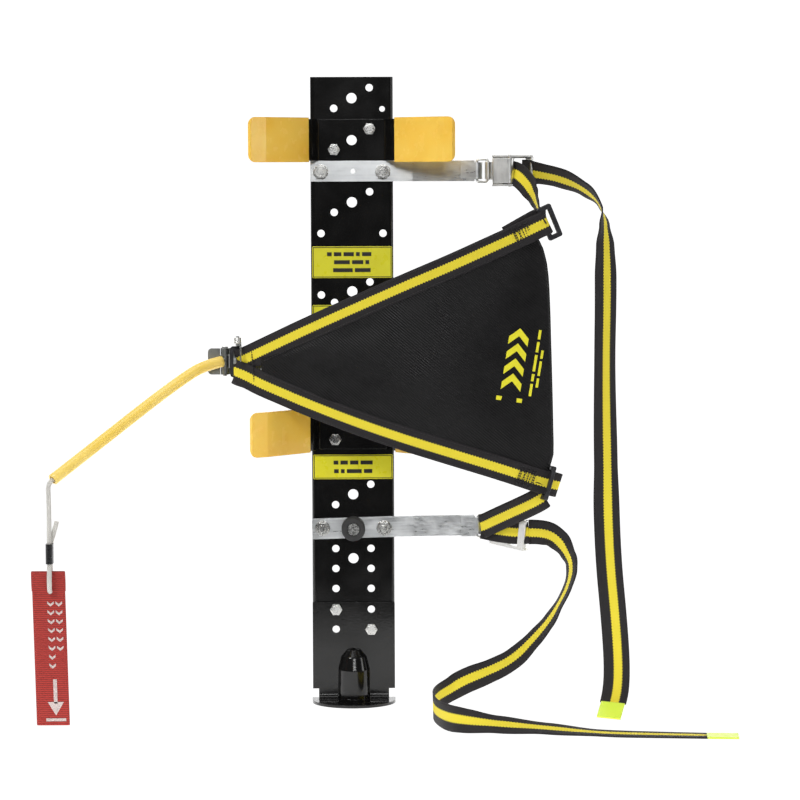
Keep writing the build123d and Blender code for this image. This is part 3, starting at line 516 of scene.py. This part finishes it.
UPPER_TAIL_ACROSS = {
    0: (0.02, 0, 1), 1: (0.2, -0.7, 0.68), 2: (0.27, -0.89, 0.36), 2.9: (0.04, -1, 0.06),
    3.5: (-0.44, -0.9, 0), 4: (-0.74, -0.67, 0), 4.6: (-0.86, -0.5, 0), 6: (-0.84, -0.54, 0),
    8: (-0.93, -0.37, 0), 9: (-1, -0.05, 0), 15: (-1, 0, 0),
}
LOWER_TAIL_ROUTE = [
    (187.0, 51.5, 188.0), (203.0, 51.5, 188.4), (218.6, 48.0, 180.5), (230.3, 46.0, 162.5),
    (234.3, 45.0, 149.0), (230.6, 44.0, 129.8), (221.5, 42.0, 111.0), (210.0, 40.0, 90.5),
    (193.6, 38.0, 71.0), (173.0, 36.0, 49.5), (149.6, 35.0, 37.0), (119.0, 37.0, 26.0),
    (102.0, 44.0, 17.0), (88.0, 66.0, 13.0), (82.5, 111.0, 13.0), (85.0, 158.0, 13.0),
    (95.0, 200.0, 14.0), (111.0, 224.0, 14.5), (145.0, 232.0, 12.0), (195.0, 231.0, 7.5),
    (250.0, 237.0, 3.0), (305.0, 242.0, 2.2), (357.0, 246.0, 1.6),
]
LOWER_TAIL_ACROSS = {
    0: (0, 0, 1), 1: (0.15, -0.1, 0.98), 2: (0.54, -0.44, 0.72), 3: (0.54, -0.81, 0.2), 4: (0.36, -0.93, 0),
    5: (0.2, -0.97, -0.08), 6: (0.165, -0.98, -0.095), 7: (0.3, -0.925, -0.23), 8: (0.39, -0.85, -0.36),
    9: (0.49, -0.67, -0.555), 10: (0.425, -0.53, -0.72),
    11: (0.35, -0.1, -0.93), 12: (0.1, 0, -1), 15: (0, 0, -1), 16: (0, -0.4, -0.9), 17: (0, -0.6, -0.8),
    18: (0, -0.85, -0.52), 19: (0, -0.96, -0.26), 20: (0, -1, -0.06), 22: (0, -1, 0),
}

tube_line = nurbs_line("tube_line", [(-139.0, 45.4, 371.3), *TUBE_ROUTE[1:]])
release_tube = tube("release_tubing", tube_line, TUBE_RADIUS, TUBING, TUBE_BORE, 28)
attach(release_tube, "lever")
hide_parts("release_tube")

cord_line = nurbs_line("cord_line", CORD_ROUTE, 14)
pull_cord = tube("braided_cord", cord_line, CORD_RADIUS, CORD, 0.0, 18)
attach(pull_cord, "lever")
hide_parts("pull_cord")

# The upper tail starts inside its adjuster, before the place where it leaves it.
UPPER_TAIL_START = [(181.5, 26.4, 570.2), (187.0, 27.0, 570.2), (192.5, 27.9, 570.2)]
UPPER_TAIL_SHOWN = UPPER_TAIL_START + UPPER_TAIL_ROUTE
moved = len(UPPER_TAIL_START)
upper_hints = {key + moved if key else 0: value for key, value in UPPER_TAIL_ACROSS.items()}
upper_line = nurbs_line("upper_tail_line", UPPER_TAIL_SHOWN, 8)
upper_across = grown(upper_hints, upper_line, len(UPPER_TAIL_SHOWN))
upper_tail = ribbon("upper_strap_tail", upper_line, upper_across, WEBBING, UPPER_TAIL_WIDTH)
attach(upper_tail, "bracket")
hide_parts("upper_tail")

lower_line = nurbs_line("lower_tail_line", LOWER_TAIL_ROUTE, 8)
lower_across = grown(LOWER_TAIL_ACROSS, lower_line, len(LOWER_TAIL_ROUTE))
lower_tail = ribbon("lower_strap_tail", lower_line, lower_across, WEBBING, LOWER_TAIL_WIDTH)
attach(lower_tail, "bracket")
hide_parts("lower_tail")

# ---------------------------------------------------------------- panel
# The panel is bent round an arc in plan: its centre's X and depth, and its radius.
ARC_X, ARC_D, ARC_R = 80.0, -335.2, 434.0


def on_arc(x, z, out):
    """Route point on the panel's plan arc, 'out' millimetres in front of the back of its cloth."""
    turn = math.asin((x - ARC_X) / ARC_R)
    reach = ARC_R + out
    return ARC_X + reach * math.sin(turn), ARC_D + reach * math.cos(turn), z


def between(table, value):
    """Straight interpolation in a table of (input, output) rows."""
    for (x0, y0), (x1, y1) in zip(table, table[1:]):
        if value <= x1:
            return y0 + (y1 - y0) * max(0.0, (value - x0) / (x1 - x0))
    return table[-1][1]


# Centre lines of the edge webbings, as X and height, and the free edge as a share of the height and X.
UPPER_EDGE = [
    (-126, 366), (-110.7, 375.5), (-48.5, 406), (27.6, 440.5), (103.4, 473.1), (179.8, 507.5), (196.9, 514.8),
]
LOWER_EDGE = [
    (-126, 361.2), (-113, 355.8), (-49, 329.5), (1.5, 310.4), (51.8, 293.1), (102, 277.3), (152.6, 261.1),
    (200.4, 244.2), (213.3, 241.2),
]
CLOTH_RIGHT = [
    (0.0, 200.0), (0.05, 205.4), (0.09, 208.8), (0.125, 211.4), (0.17, 211.6), (0.22, 211.1), (0.32, 210.2),
    (0.45, 209.0), (0.55, 208.0), (0.65, 207.2), (0.75, 206.2), (0.80, 205.4), (0.85, 203.8), (0.9, 200.5),
    (0.94, 195.5), (1.0, 186.0),
]


def cloth_bow(x, z):
    """How far the cloth's front stands out of the arc: flat under the tapes, bowed and slack between them."""
    low, high = between(LOWER_EDGE, x) + 13, between(UPPER_EDGE, x) - 13
    if high <= low or not low < z < high:
        return 1.9
    t = (2 * z - low - high) / (high - low)
    dome = (1 - t * t) ** 1.3 * min(1.0, (high - low) / 150) ** 1.5
    dome *= 1.0 - 0.5 * max(0.0, (x + 110) / 320) ** 6
    slack = 0.8 * math.sin(z * 0.023 + x * 0.017)
    slack += 1.3 * math.exp(-((t - 0.75) / 0.22) ** 2) * math.sin((x - 150) * 0.055)
    slack += 1.1 * math.exp(-((t + 0.78) / 0.22) ** 2) * math.sin((x - 120) * 0.05)
    return 1.9 + 4.4 * dome + slack * (1 - t ** 4) * min(1.0, (high - low) / 220)


def cloth_grid():
    """Rows of points of the cloth's front, each as X, height and distance from the arc, and their UVs."""
    across, up, left = 110, 72, -96.0
    rows, uvs = [], []
    for j in range(up + 1):
        v = j / up
        row, marks = [], []
        for i in range(across + 1):
            x = left + (between(CLOTH_RIGHT, v) - left) * i / across
            low, high = between(LOWER_EDGE, x) - 3, between(UPPER_EDGE, x) + 3
            z = low + (high - low) * v
            row.append((x, z, cloth_bow(x, z)))
            marks.append((x / 1000, z / 1000))
        rows.append(row)
        uvs.append(marks)
    return rows, uvs


def cloth_mesh(thick=1.2):
    """The cloth as a closed sheet."""
    rows, marks = cloth_grid()
    up, across = len(rows) - 1, len(rows[0]) - 1
    flat = [p for row in rows for p in row]
    verts = [at(*on_arc(x, z, out)) for x, z, out in flat]
    verts += [at(*on_arc(x, z, out - thick)) for x, z, out in flat]
    shift = len(flat)
    faces, uvs = [], []

    def add(face, places):
        faces.append(face)
        uvs.append([marks[j][i] for i, j in places])

    for j in range(up):
        for i in range(across):
            a, b = j * (across + 1) + i, (j + 1) * (across + 1) + i
            places = [(i, j), (i + 1, j), (i + 1, j + 1), (i, j + 1)]
            add((a, a + 1, b + 1, b), places)
            add((b + shift, b + 1 + shift, a + 1 + shift, a + shift), places[::-1])
    for j in range(up):
        for i, flip in ((0, True), (across, False)):
            a, b = j * (across + 1) + i, (j + 1) * (across + 1) + i
            face = (a, a + shift, b + shift, b)
            add(face[::-1] if flip else face, [(i, j), (i, j), (i, j + 1), (i, j + 1)][::-1 if flip else 1])
    for i in range(across):
        for j, flip in ((0, False), (up, True)):
            a = j * (across + 1) + i
            face = (a, a + shift, a + 1 + shift, a + 1)
            add(face[::-1] if flip else face, [(i, j), (i, j), (i + 1, j), (i + 1, j)][::-1 if flip else 1])
    return mesh_object("panel_cloth", verts, faces, uvs, SCRIM)


cloth = cloth_mesh()
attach(cloth, "panel")
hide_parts("panel_fabric")

# Each edge webbing is one tape: round the apex loop, along the cloth's edge, round its ring and back.
# The middle of the tape stands this far out of the arc behind the cloth and in front of it.
BACK_LAYER, FRONT_LAYER = -1.2, 2.9
UPPER_WEB = [
    on_arc(-84, 388, BACK_LAYER), (-100, 52.5, 380.5), (-112, 43.6, 375), (-119.5, 41.9, 371.5),
    (-123.0, 43.2, 370), (-122.8, 48.4, 370.6), (-117.5, 51.4, 372.8), (-110, 55.0, 376.2),
]
UPPER_WEB += [on_arc(x, z, FRONT_LAYER) for x, z in (
    (-96, 382.7), (-72, 394.5), (-48.5, 406), (-10, 423.7), (27.6, 440.5), (65, 457), (103.4, 473.1),
    (142, 490.5), (172, 503.8))]
UPPER_WEB += [
    (188, 89.2, 510.9), (196, 89.4, 514.8), (203.6, 88.2, 518.0), (205.8, 82.2, 519.6), (203.4, 77.0, 521.6),
    (197.0, 78.2, 520.8), (188, 81.6, 516.2), (176, 85.6, 509.6), (163, 89.2, 502.4),
]
LOWER_WEB = [
    on_arc(-84, 344, BACK_LAYER), (-98, 52.0, 349.6), (-112, 42.4, 354.6), (-121.0, 41.2, 357.5),
    (-125.4, 44.0, 360.6), (-126.0, 49.8, 361.4), (-121.5, 52.6, 359.8), (-115, 55.2, 357.2),
    (-108, 57.9, 354.0), on_arc(-96, 348.9, FRONT_LAYER + 1.0),
]
LOWER_WEB += [on_arc(x, z, FRONT_LAYER) for x, z in (
    (-76, 340.6), (-49, 329.5), (1.5, 310.4), (51.8, 293.1), (102, 277.3), (152.6, 261.1), (180, 251.4))]
LOWER_WEB += [
    (192, 85.4, 247.2), (203, 82.6, 243.8), (212, 80.2, 241.4), (217.6, 77.8, 240.0), (217.2, 73.6, 240.2),
    (209, 71.4, 242.2), (200, 71.8, 245.0), (188, 79.0, 249.4), (176, 86.0, 253.2), (158, 90.2, 258.8),
]


def tape(name, route, hints):
    """Striped webbing along a route."""
    line = nurbs_line(name + "_line", route, 8)
    return ribbon(name, line, grown(hints, line, len(route)), WEBBING)


def square_to(dx, dz):
    """In the panel's face, pointing up and square to a direction given in X and Z."""
    size = math.hypot(dx, dz)
    return (-dz / size, 0, dx / size)


UPPER_WEB_ACROSS = {
    0: square_to(2.0, 1), 4: square_to(4.5, 1), 5: square_to(4.5, 1), 7: square_to(2.2, 1),
    8: square_to(2.05, 1), 12: square_to(2.27, 1), 16: square_to(2.25, 1), 18: square_to(2.2, 1),
    19: (-0.397, 0, 0.918), 21: (-0.42, 0, 0.907), 25: square_to(1.87, 1),
}
LOWER_WEB_ACROSS = {
    0: (0.30, 0, 0.95), 3: (0.1, 0, 1), 5: (-0.03, 0, 1), 6: (0.12, 0, 1), 7: square_to(2.6, -1),
    9: square_to(2.4, -1), 12: square_to(2.65, -1), 14: square_to(3.1, -1), 16: square_to(2.9, -1),
    18: (0.31, 0, 0.95), 21: (0.31, 0, 0.95), 26: (0.33, 0, 0.94),
}
for name, route, hints, node in (
        ("upper_panel_webbing", UPPER_WEB, UPPER_WEB_ACROSS, "upper_edge_webbing"),
        ("lower_panel_webbing", LOWER_WEB, LOWER_WEB_ACROSS, "lower_edge_webbing")):
    obj = tape(name, route, hints)
    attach(obj, "panel")
    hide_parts(node)

# ---------------------------------------------------------------- link straps
UPPER_LINK = [
    (160, 23.8, 570), (169, 24.0, 570.6), (174.2, 28.0, 569.6), (179.6, 39.5, 565.6), (187.0, 51, 556.6),
    (192.0, 60, 546.8), (195.6, 69, 536.4), (198.0, 74.5, 528), (200.5, 76.6, 521), (203.4, 77.2, 515.5),
]
UPPER_LINK_ACROSS = {
    0: (0.1, 0, 1), 1: (0.2, -0.1, 0.97), 2: (0.45, -0.2, 0.87), 3: (0.55, -0.45, 0.7),
    4: (0.62, -0.64, 0.46), 5: (0.36, -0.9, 0.22), 6: (0.14, -0.98, 0.06), 7: (0.0, -1.0, 0.1),
    8: (-0.2, -0.8, 0.5), 9: (-0.4, -0.3, 0.87),
}
LOWER_LINK = [
    (187, 51.5, 188.2), (182.5, 48.2, 187.4), (178.6, 45.0, 186.8), (171.4, 43.6, 186.8),
    (164.2, 40.9, 187.4), (156, 34.6, 187.8), (148.6, 29.0, 188.6), (142.5, 25.6, 189.6),
    (138.6, 25.2, 190.6), (136.9, 27.6, 191.2), (138.8, 30.4, 192.0), (143.4, 34.4, 194.6),
    (150.5, 41.0, 198.8), (164, 53.0, 206.6), (177, 64.5, 213.9), (189.0, 73.4, 220.6),
    (197.0, 77.4, 225.4), (202.0, 78.2, 228.8), (203.8, 75.6, 230.6), (202.0, 72.6, 231.0),
]
LOWER_LINK_ACROSS = {
    0: (0.13, -0.05, 0.99), 6: (0.12, 0, 0.99), 8: (-0.1, 0, 0.99), 9: (-0.17, 0, 0.98), 11: (-0.4, 0, 0.9),
    14: (-0.46, 0, 0.89), 15: (-0.42, 0, 0.91), 16: (-0.16, 0, 1.0), 17: (0.1, 0, 1.0), 19: (0.1, 0, 1.0),
}
# Each link strap runs from the bracket to the panel; its two listed places are where it leaves the one and
# meets the other.
for name, route, hints, solid, ends in (
        ("upper_link_tape", UPPER_LINK, UPPER_LINK_ACROSS, "upper_link_strap",
         ((180.5, 43, 564.7), (203.4, 77.2, 515.5))),
        ("lower_link_tape", LOWER_LINK, LOWER_LINK_ACROSS, "lower_link_strap",
         ((150.5, 41.0, 198.8), (202.0, 78.2, 228.8)))):
    strap = tape(name, route, hints)
    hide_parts(solid)
    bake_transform(strap)

# ---------------------------------------------------------------- pull tag
TAG_X, TAG_MID, TAG_TOP = -312, 84, 164
TAG_DEPTH, TAG_FRONT = 174.5, 176.0


def tag_mesh():
    """Doubled ribbed tape with a thicker hem at its top; each row is a height and a share of the width."""
    half, rim, lean = 17.0, 1.5, math.tan(math.radians(1.4))
    rows = [
        (4.0, 0.96), (4.6, 1.0), (40, 1.0), (80, 1.0), (120, 1.0), (136, 1.0), (143, 1.0), (143.6, 1.03),
        (150, 1.04), (158, 1.04), (163.4, 1.03), (TAG_TOP, 0.99),
    ]
    cols = 16
    verts, faces, uvs = [], [], []
    for z, grow in rows:
        puff = 0.35 if z > 143.2 else 0.0
        ring = []
        for i in range(cols + 1):
            t = -1 + 2 * i / cols
            deep = (rim + puff) * (1 - 0.75 * (abs(t) > 0.99)) * (0.5 if z in (4.0, TAG_TOP) else 1)
            ring.append((t * half * grow, deep))
        for sign in (1, -1):
            for x, deep in (ring if sign == 1 else ring[::-1]):
                verts.append(at(TAG_X + x + (TAG_MID - z) * lean, TAG_DEPTH + sign * deep, z))
    count = 2 * (cols + 1)
    for r in range(len(rows) - 1):
        for j in range(count):
            k = (j + 1) % count
            faces.append((r * count + k, r * count + j, (r + 1) * count + j, (r + 1) * count + k))
            uvs.append([(rows[n][0] / 1000, (m if m <= cols else 2 * cols + 1 - m) * 2 * half / cols / 1000)
                        for n, m in ((r, k), (r, j), (r + 1, j), (r + 1, k))])
    last = (len(rows) - 1) * count
    faces += [tuple(range(count)), tuple(range(last + count - 1, last - 1, -1))]
    uvs += [[(0, 0)] * count] * 2
    return mesh_object("ribbed_pull_tag", verts, faces, uvs, TAPE, smooth=False)


tag = tag_mesh()
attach(tag, "tag")
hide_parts("pull_tag")

# ---------------------------------------------------------------- flat marks and stitching
# A flat mark's face stands just over the surface and its edges end just inside it.
DECAL_FACE, DECAL_ROOT = 0.16, -0.05


def decal(name, shapes, place, mat, body):
    """Thin plates cut to 2-D outlines; place maps (x, z) and a height above the surface to a route point."""
    verts, faces = [], []
    for shape in shapes:
        n = len(verts)
        count = len(shape)
        verts += [at(*place(x, z, out)) for out in (DECAL_FACE, DECAL_ROOT) for x, z in shape]
        faces.append(tuple(range(n, n + count)))
        for i in range(count):
            k = (i + 1) % count
            faces.append((n + i, n + count + i, n + count + k, n + k))
    obj = mesh_object(name, verts, faces, None, mat, smooth=False)
    bm = bmesh.new()
    bm.from_mesh(obj.data)
    bmesh.ops.recalc_face_normals(bm, faces=bm.faces)
    bm.to_mesh(obj.data)
    bm.free()
    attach(obj, body)
    return obj


def slab(x0, x1, z0, z1):
    return [(x0, z0), (x1, z0), (x1, z1), (x0, z1)]


def frame_lines(x0, x1, z0, z1, line):
    return [slab(x0, x1, z0, z0 + line), slab(x0, x1, z1 - line, z1), slab(x0, x0 + line, z0 + line, z1 - line),
            slab(x1 - line, x1, z0 + line, z1 - line)]


def words(z, bars, half, height=4.2, gap=2.4):
    """A row of plain bars standing where a line of print would be."""
    out, x = [], -half
    for run in bars:
        out.append(slab(x, x + run, z - height / 2, z + height / 2))
        x += run + gap
    return out


# Each label: its name, its bottom and top, and its rows as a height, the lengths of the bars and a half width.
LABELS = [
    ("upper", 458.0, 492.0, [
        (483.6, (5, 8, 11, 4, 10), 27), (475.0, (17, 12, 4), 19.5), (466.4, (21, 17), 20.5)]),
    ("middle", 395.0, 429.0, []),
    ("lower", 240.7, 267.2, [(258.6, (5, 8, 9, 13), 21), (249.3, (5, 4, 16, 9), 20.5)]),
]
LABEL_HALF, FRAME_INSET, FRAME_LINE = 42.2, 0.8, 0.7
for name, z0, z1, rows in LABELS:
    marks = frame_lines(-LABEL_HALF, LABEL_HALF, z0 + FRAME_INSET, z1 - FRAME_INSET, FRAME_LINE)
    for z, bars, half in rows:
        marks += words(z, bars, half)
    ink = decal(name + "_label_ink", marks, lambda x, z, out: (x, LABEL_FRONT + out, z), INK, "bracket")


def turned(shape, angle, cx, cz):
    c, s = math.cos(angle), math.sin(angle)
    return [(cx + x * c - z * s, cz + x * s + z * c) for x, z in shape]


def chevron(z, half, rise, stroke):
    """An upward chevron as two strokes."""
    left = [(-half, z), (0, z + rise), (0, z + rise + stroke), (-half, z + stroke)]
    return [left, [(-x, zz) for x, zz in left[::-1]]]


lean = math.radians(-9)
mark = []
for k in range(4):
    mark += chevron(-30 + 14.5 * k, 9.5, 9.0, 7.5)
mark.append(slab(-12.5, 12.5, -40.5, -36.5))
mark += [slab(18.0, 20.6, z, z + run) for z, run in ((-33, 12), (-18.5, 7), (-9, 16), (9.5, 10), (22, 9))]
mark += [slab(23.4, 25.8, z, z + run) for z, run in ((-24, 9), (-12.5, 14), (4, 8))]


def panel_place(x, z, out):
    """On the cloth's front, following its bow."""
    return on_arc(x, z, cloth_bow(x, z) + out)


mark = [turned([(x * 1.1, z * 1.1) for x, z in shape], lean, 170, 375) for shape in mark]
panel_mark = decal("panel_mark", mark, panel_place, MARK, "panel")

tag_marks = []
for column, count in ((1.5, 8), (10.0, 6)):
    for k in range(count):
        z = 133 - 9.2 * k
        tag_marks += [[(column - 3.4, z), (column, z - 2.8), (column, z - 5.4), (column - 3.4, z - 2.6)],
                      [(column + 3.4, z), (column + 3.4, z - 2.6), (column, z - 5.4), (column, z - 2.8)]]
tag_marks += [slab(1.4, 5.2, 27, 52), [(-5.0, 28.5), (3.3, 14.5), (11.6, 28.5)], slab(-7, 13.5, 8.5, 11.5)]


def tag_place(x, z, out):
    """On the front of the tag, which leans a little."""
    return TAG_X + x + (TAG_MID - z) * 0.0244, TAG_FRONT + out, z


tag_ink = decal("tag_mark", tag_marks, tag_place, WOVEN_WHITE, "tag")


# How far the stitching stands out of the panel's arc: crossed stitching at the ends, rows along the edges.
END_STITCH_OUT, EDGE_STITCH_OUT = 4.1, 3.9


def stitches(name, runs, step, radius):
    """Short round stitches of dark thread in the panel, along polylines of route points."""
    verts, faces = [], []
    for run in runs:
        points = [at(*p) for p in run]
        for a, b in zip(points, points[1:]):
            count = max(1, round((b - a).length / step))
            for k in range(count):
                s, e = a.lerp(b, (k + 0.12) / count), a.lerp(b, (k + 0.88) / count)
                axis = (e - s).normalized()
                side = axis.cross(Vector((0, 1, 0))).normalized()
                lift = side.cross(axis)
                n = len(verts)
                for t, r in ((0, 0.35), (0.2, 1), (0.8, 1), (1, 0.35)):
                    centre = s.lerp(e, t)
                    verts += [centre + (side * math.cos(w) + lift * math.sin(w)) * radius * r
                              for w in (math.pi / 3 * m for m in range(6))]
                for row in range(3):
                    for j in range(6):
                        i0, i1 = n + row * 6 + j, n + row * 6 + (j + 1) % 6
                        faces.append((i0, i1, i1 + 6, i0 + 6))
                faces += [tuple(n + j for j in range(5, -1, -1)), tuple(n + 18 + j for j in range(6))]
    obj = mesh_object(name, verts, faces, None, DARK_THREAD)
    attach(obj, "panel")


def box_x(cx, cz, angle):
    """Bar-tacks and crossed stitching over the end of a webbing."""
    runs = []
    rows = ((-8, -8), (-6.4, -6.4), (-4.8, 0.2), (0.2, -4.8), (1.6, 1.6), (2.8, 6.2), (7.4, 7.4), (8.8, 8.8))
    for s0, s1 in rows:
        ends = []
        for s, v in ((s0, -10.5), (s1, 10.5)):
            c, n = math.cos(angle), math.sin(angle)
            ends.append((cx + s * c - v * n, cz + s * n + v * c))
        runs.append([on_arc(x, z, END_STITCH_OUT) for x, z in ends])
    return runs


runs = box_x(177.5, 506.4, math.radians(24)) + box_x(181.5, 250.9, math.radians(-19))
runs.append([
    (-106.9, 58.8, 383), (-106.2, 59.2, 372.5), (-105.6, 60.2, 364), (-104.8, 61.0, 355), (-103.9, 61.0, 344.6),
])
stitches("end_stitching", runs, 0.0026, 0.0006)

edge_runs = []
for table in (UPPER_EDGE, LOWER_EDGE):
    for off in (-10.6, 10.6):
        places = [(x, between(table, x) + off * 1.09) for x in range(-92, 170, 8)]
        edge_runs.append([on_arc(x, z, EDGE_STITCH_OUT) for x, z in places])
stitches("edge_stitching", edge_runs, 0.0032, 0.00035)

# ---------------------------------------------------------------- floor and light
floor_look = Look("studio_white", (0.9, 0.9, 0.9), 0.9)
floor_look.set("Emission Color", (1.0, 1.0, 1.0, 1))
floor_look.set("Emission Strength", 0.7)
# The floor runs back and sweeps up into a wall, given as depth and height.
FLOOR_GAP, FLOOR_HALF = 0.0002, 4.0
sweep = [(-0.66, 0.0), (1.2, 0.0)]
sweep += [(1.2 + math.sin(a), 1.0 - math.cos(a)) for a in [math.pi / 32 * i for i in range(1, 17)]]
sweep += [(2.2, 4.0)]
verts = [(x, y, FLOOR_Z - FLOOR_GAP + z) for y, z in sweep for x in (-FLOOR_HALF, FLOOR_HALF)]
faces = [(2 * i, 2 * i + 1, 2 * i + 3, 2 * i + 2) for i in range(len(sweep) - 1)]
floor = mesh_object("floor", verts, faces, None, floor_look.mat)
floor.visible_camera = False

# The floor and its sweep only light the object. This white shell, which lights nothing, fills the picture.
shell_look = Look("studio_shell", (0.9, 0.9, 0.9), 0.9)
shell_look.set("Emission Color", (1.0, 1.0, 1.0, 1))
shell_look.set("Emission Strength", 1.0)
shell_look.mat.cycles.emission_sampling = "NONE"
SHELL = (-12, 12)
corners = [(x, y, z) for x in SHELL for y in SHELL for z in SHELL]
sides = [(0, 1, 3, 2), (4, 6, 7, 5), (0, 4, 5, 1), (2, 3, 7, 6), (0, 2, 6, 4), (1, 5, 7, 3)]
shell = mesh_object("studio_shell", corners, sides, None, shell_look.mat, smooth=False)
shell.visible_diffuse = False
shell.visible_glossy = False
shell.visible_transmission = False
shell.visible_shadow = False


def area(name, place, target, size, power, size_y=None):
    """A rectangular lamp of some watts, size metres wide, aimed at a target."""
    light = bpy.data.lights.new(name, "AREA")
    light.energy = power
    light.shape = "RECTANGLE"
    light.size, light.size_y = size, size_y or size
    obj = link(bpy.data.objects.new(name, light))
    obj.location = place
    look_at(obj, Vector(target))


area("key", (-1.7, -1.9, 1.9), (0, 0, -0.1), 1.0, 58)
area("front", (0.25, -3.4, 1.0), (0, 0, 0.0), 1.1, 24, 0.45)
area("side", (2.4, -0.7, 0.5), (0, 0, -0.1), 0.7, 14, 1.6)
area("top", (0.0, -0.2, 2.2), (0, 0.2, 0), 1.6, 22)
world = bpy.data.worlds.new("studio")
world.use_nodes = True
world.node_tree.nodes["Background"].inputs[0].default_value = (0.95, 0.97, 1.0, 1)
world.node_tree.nodes["Background"].inputs[1].default_value = 0.07
scene.world = world
scene.view_settings.view_transform = "Standard"
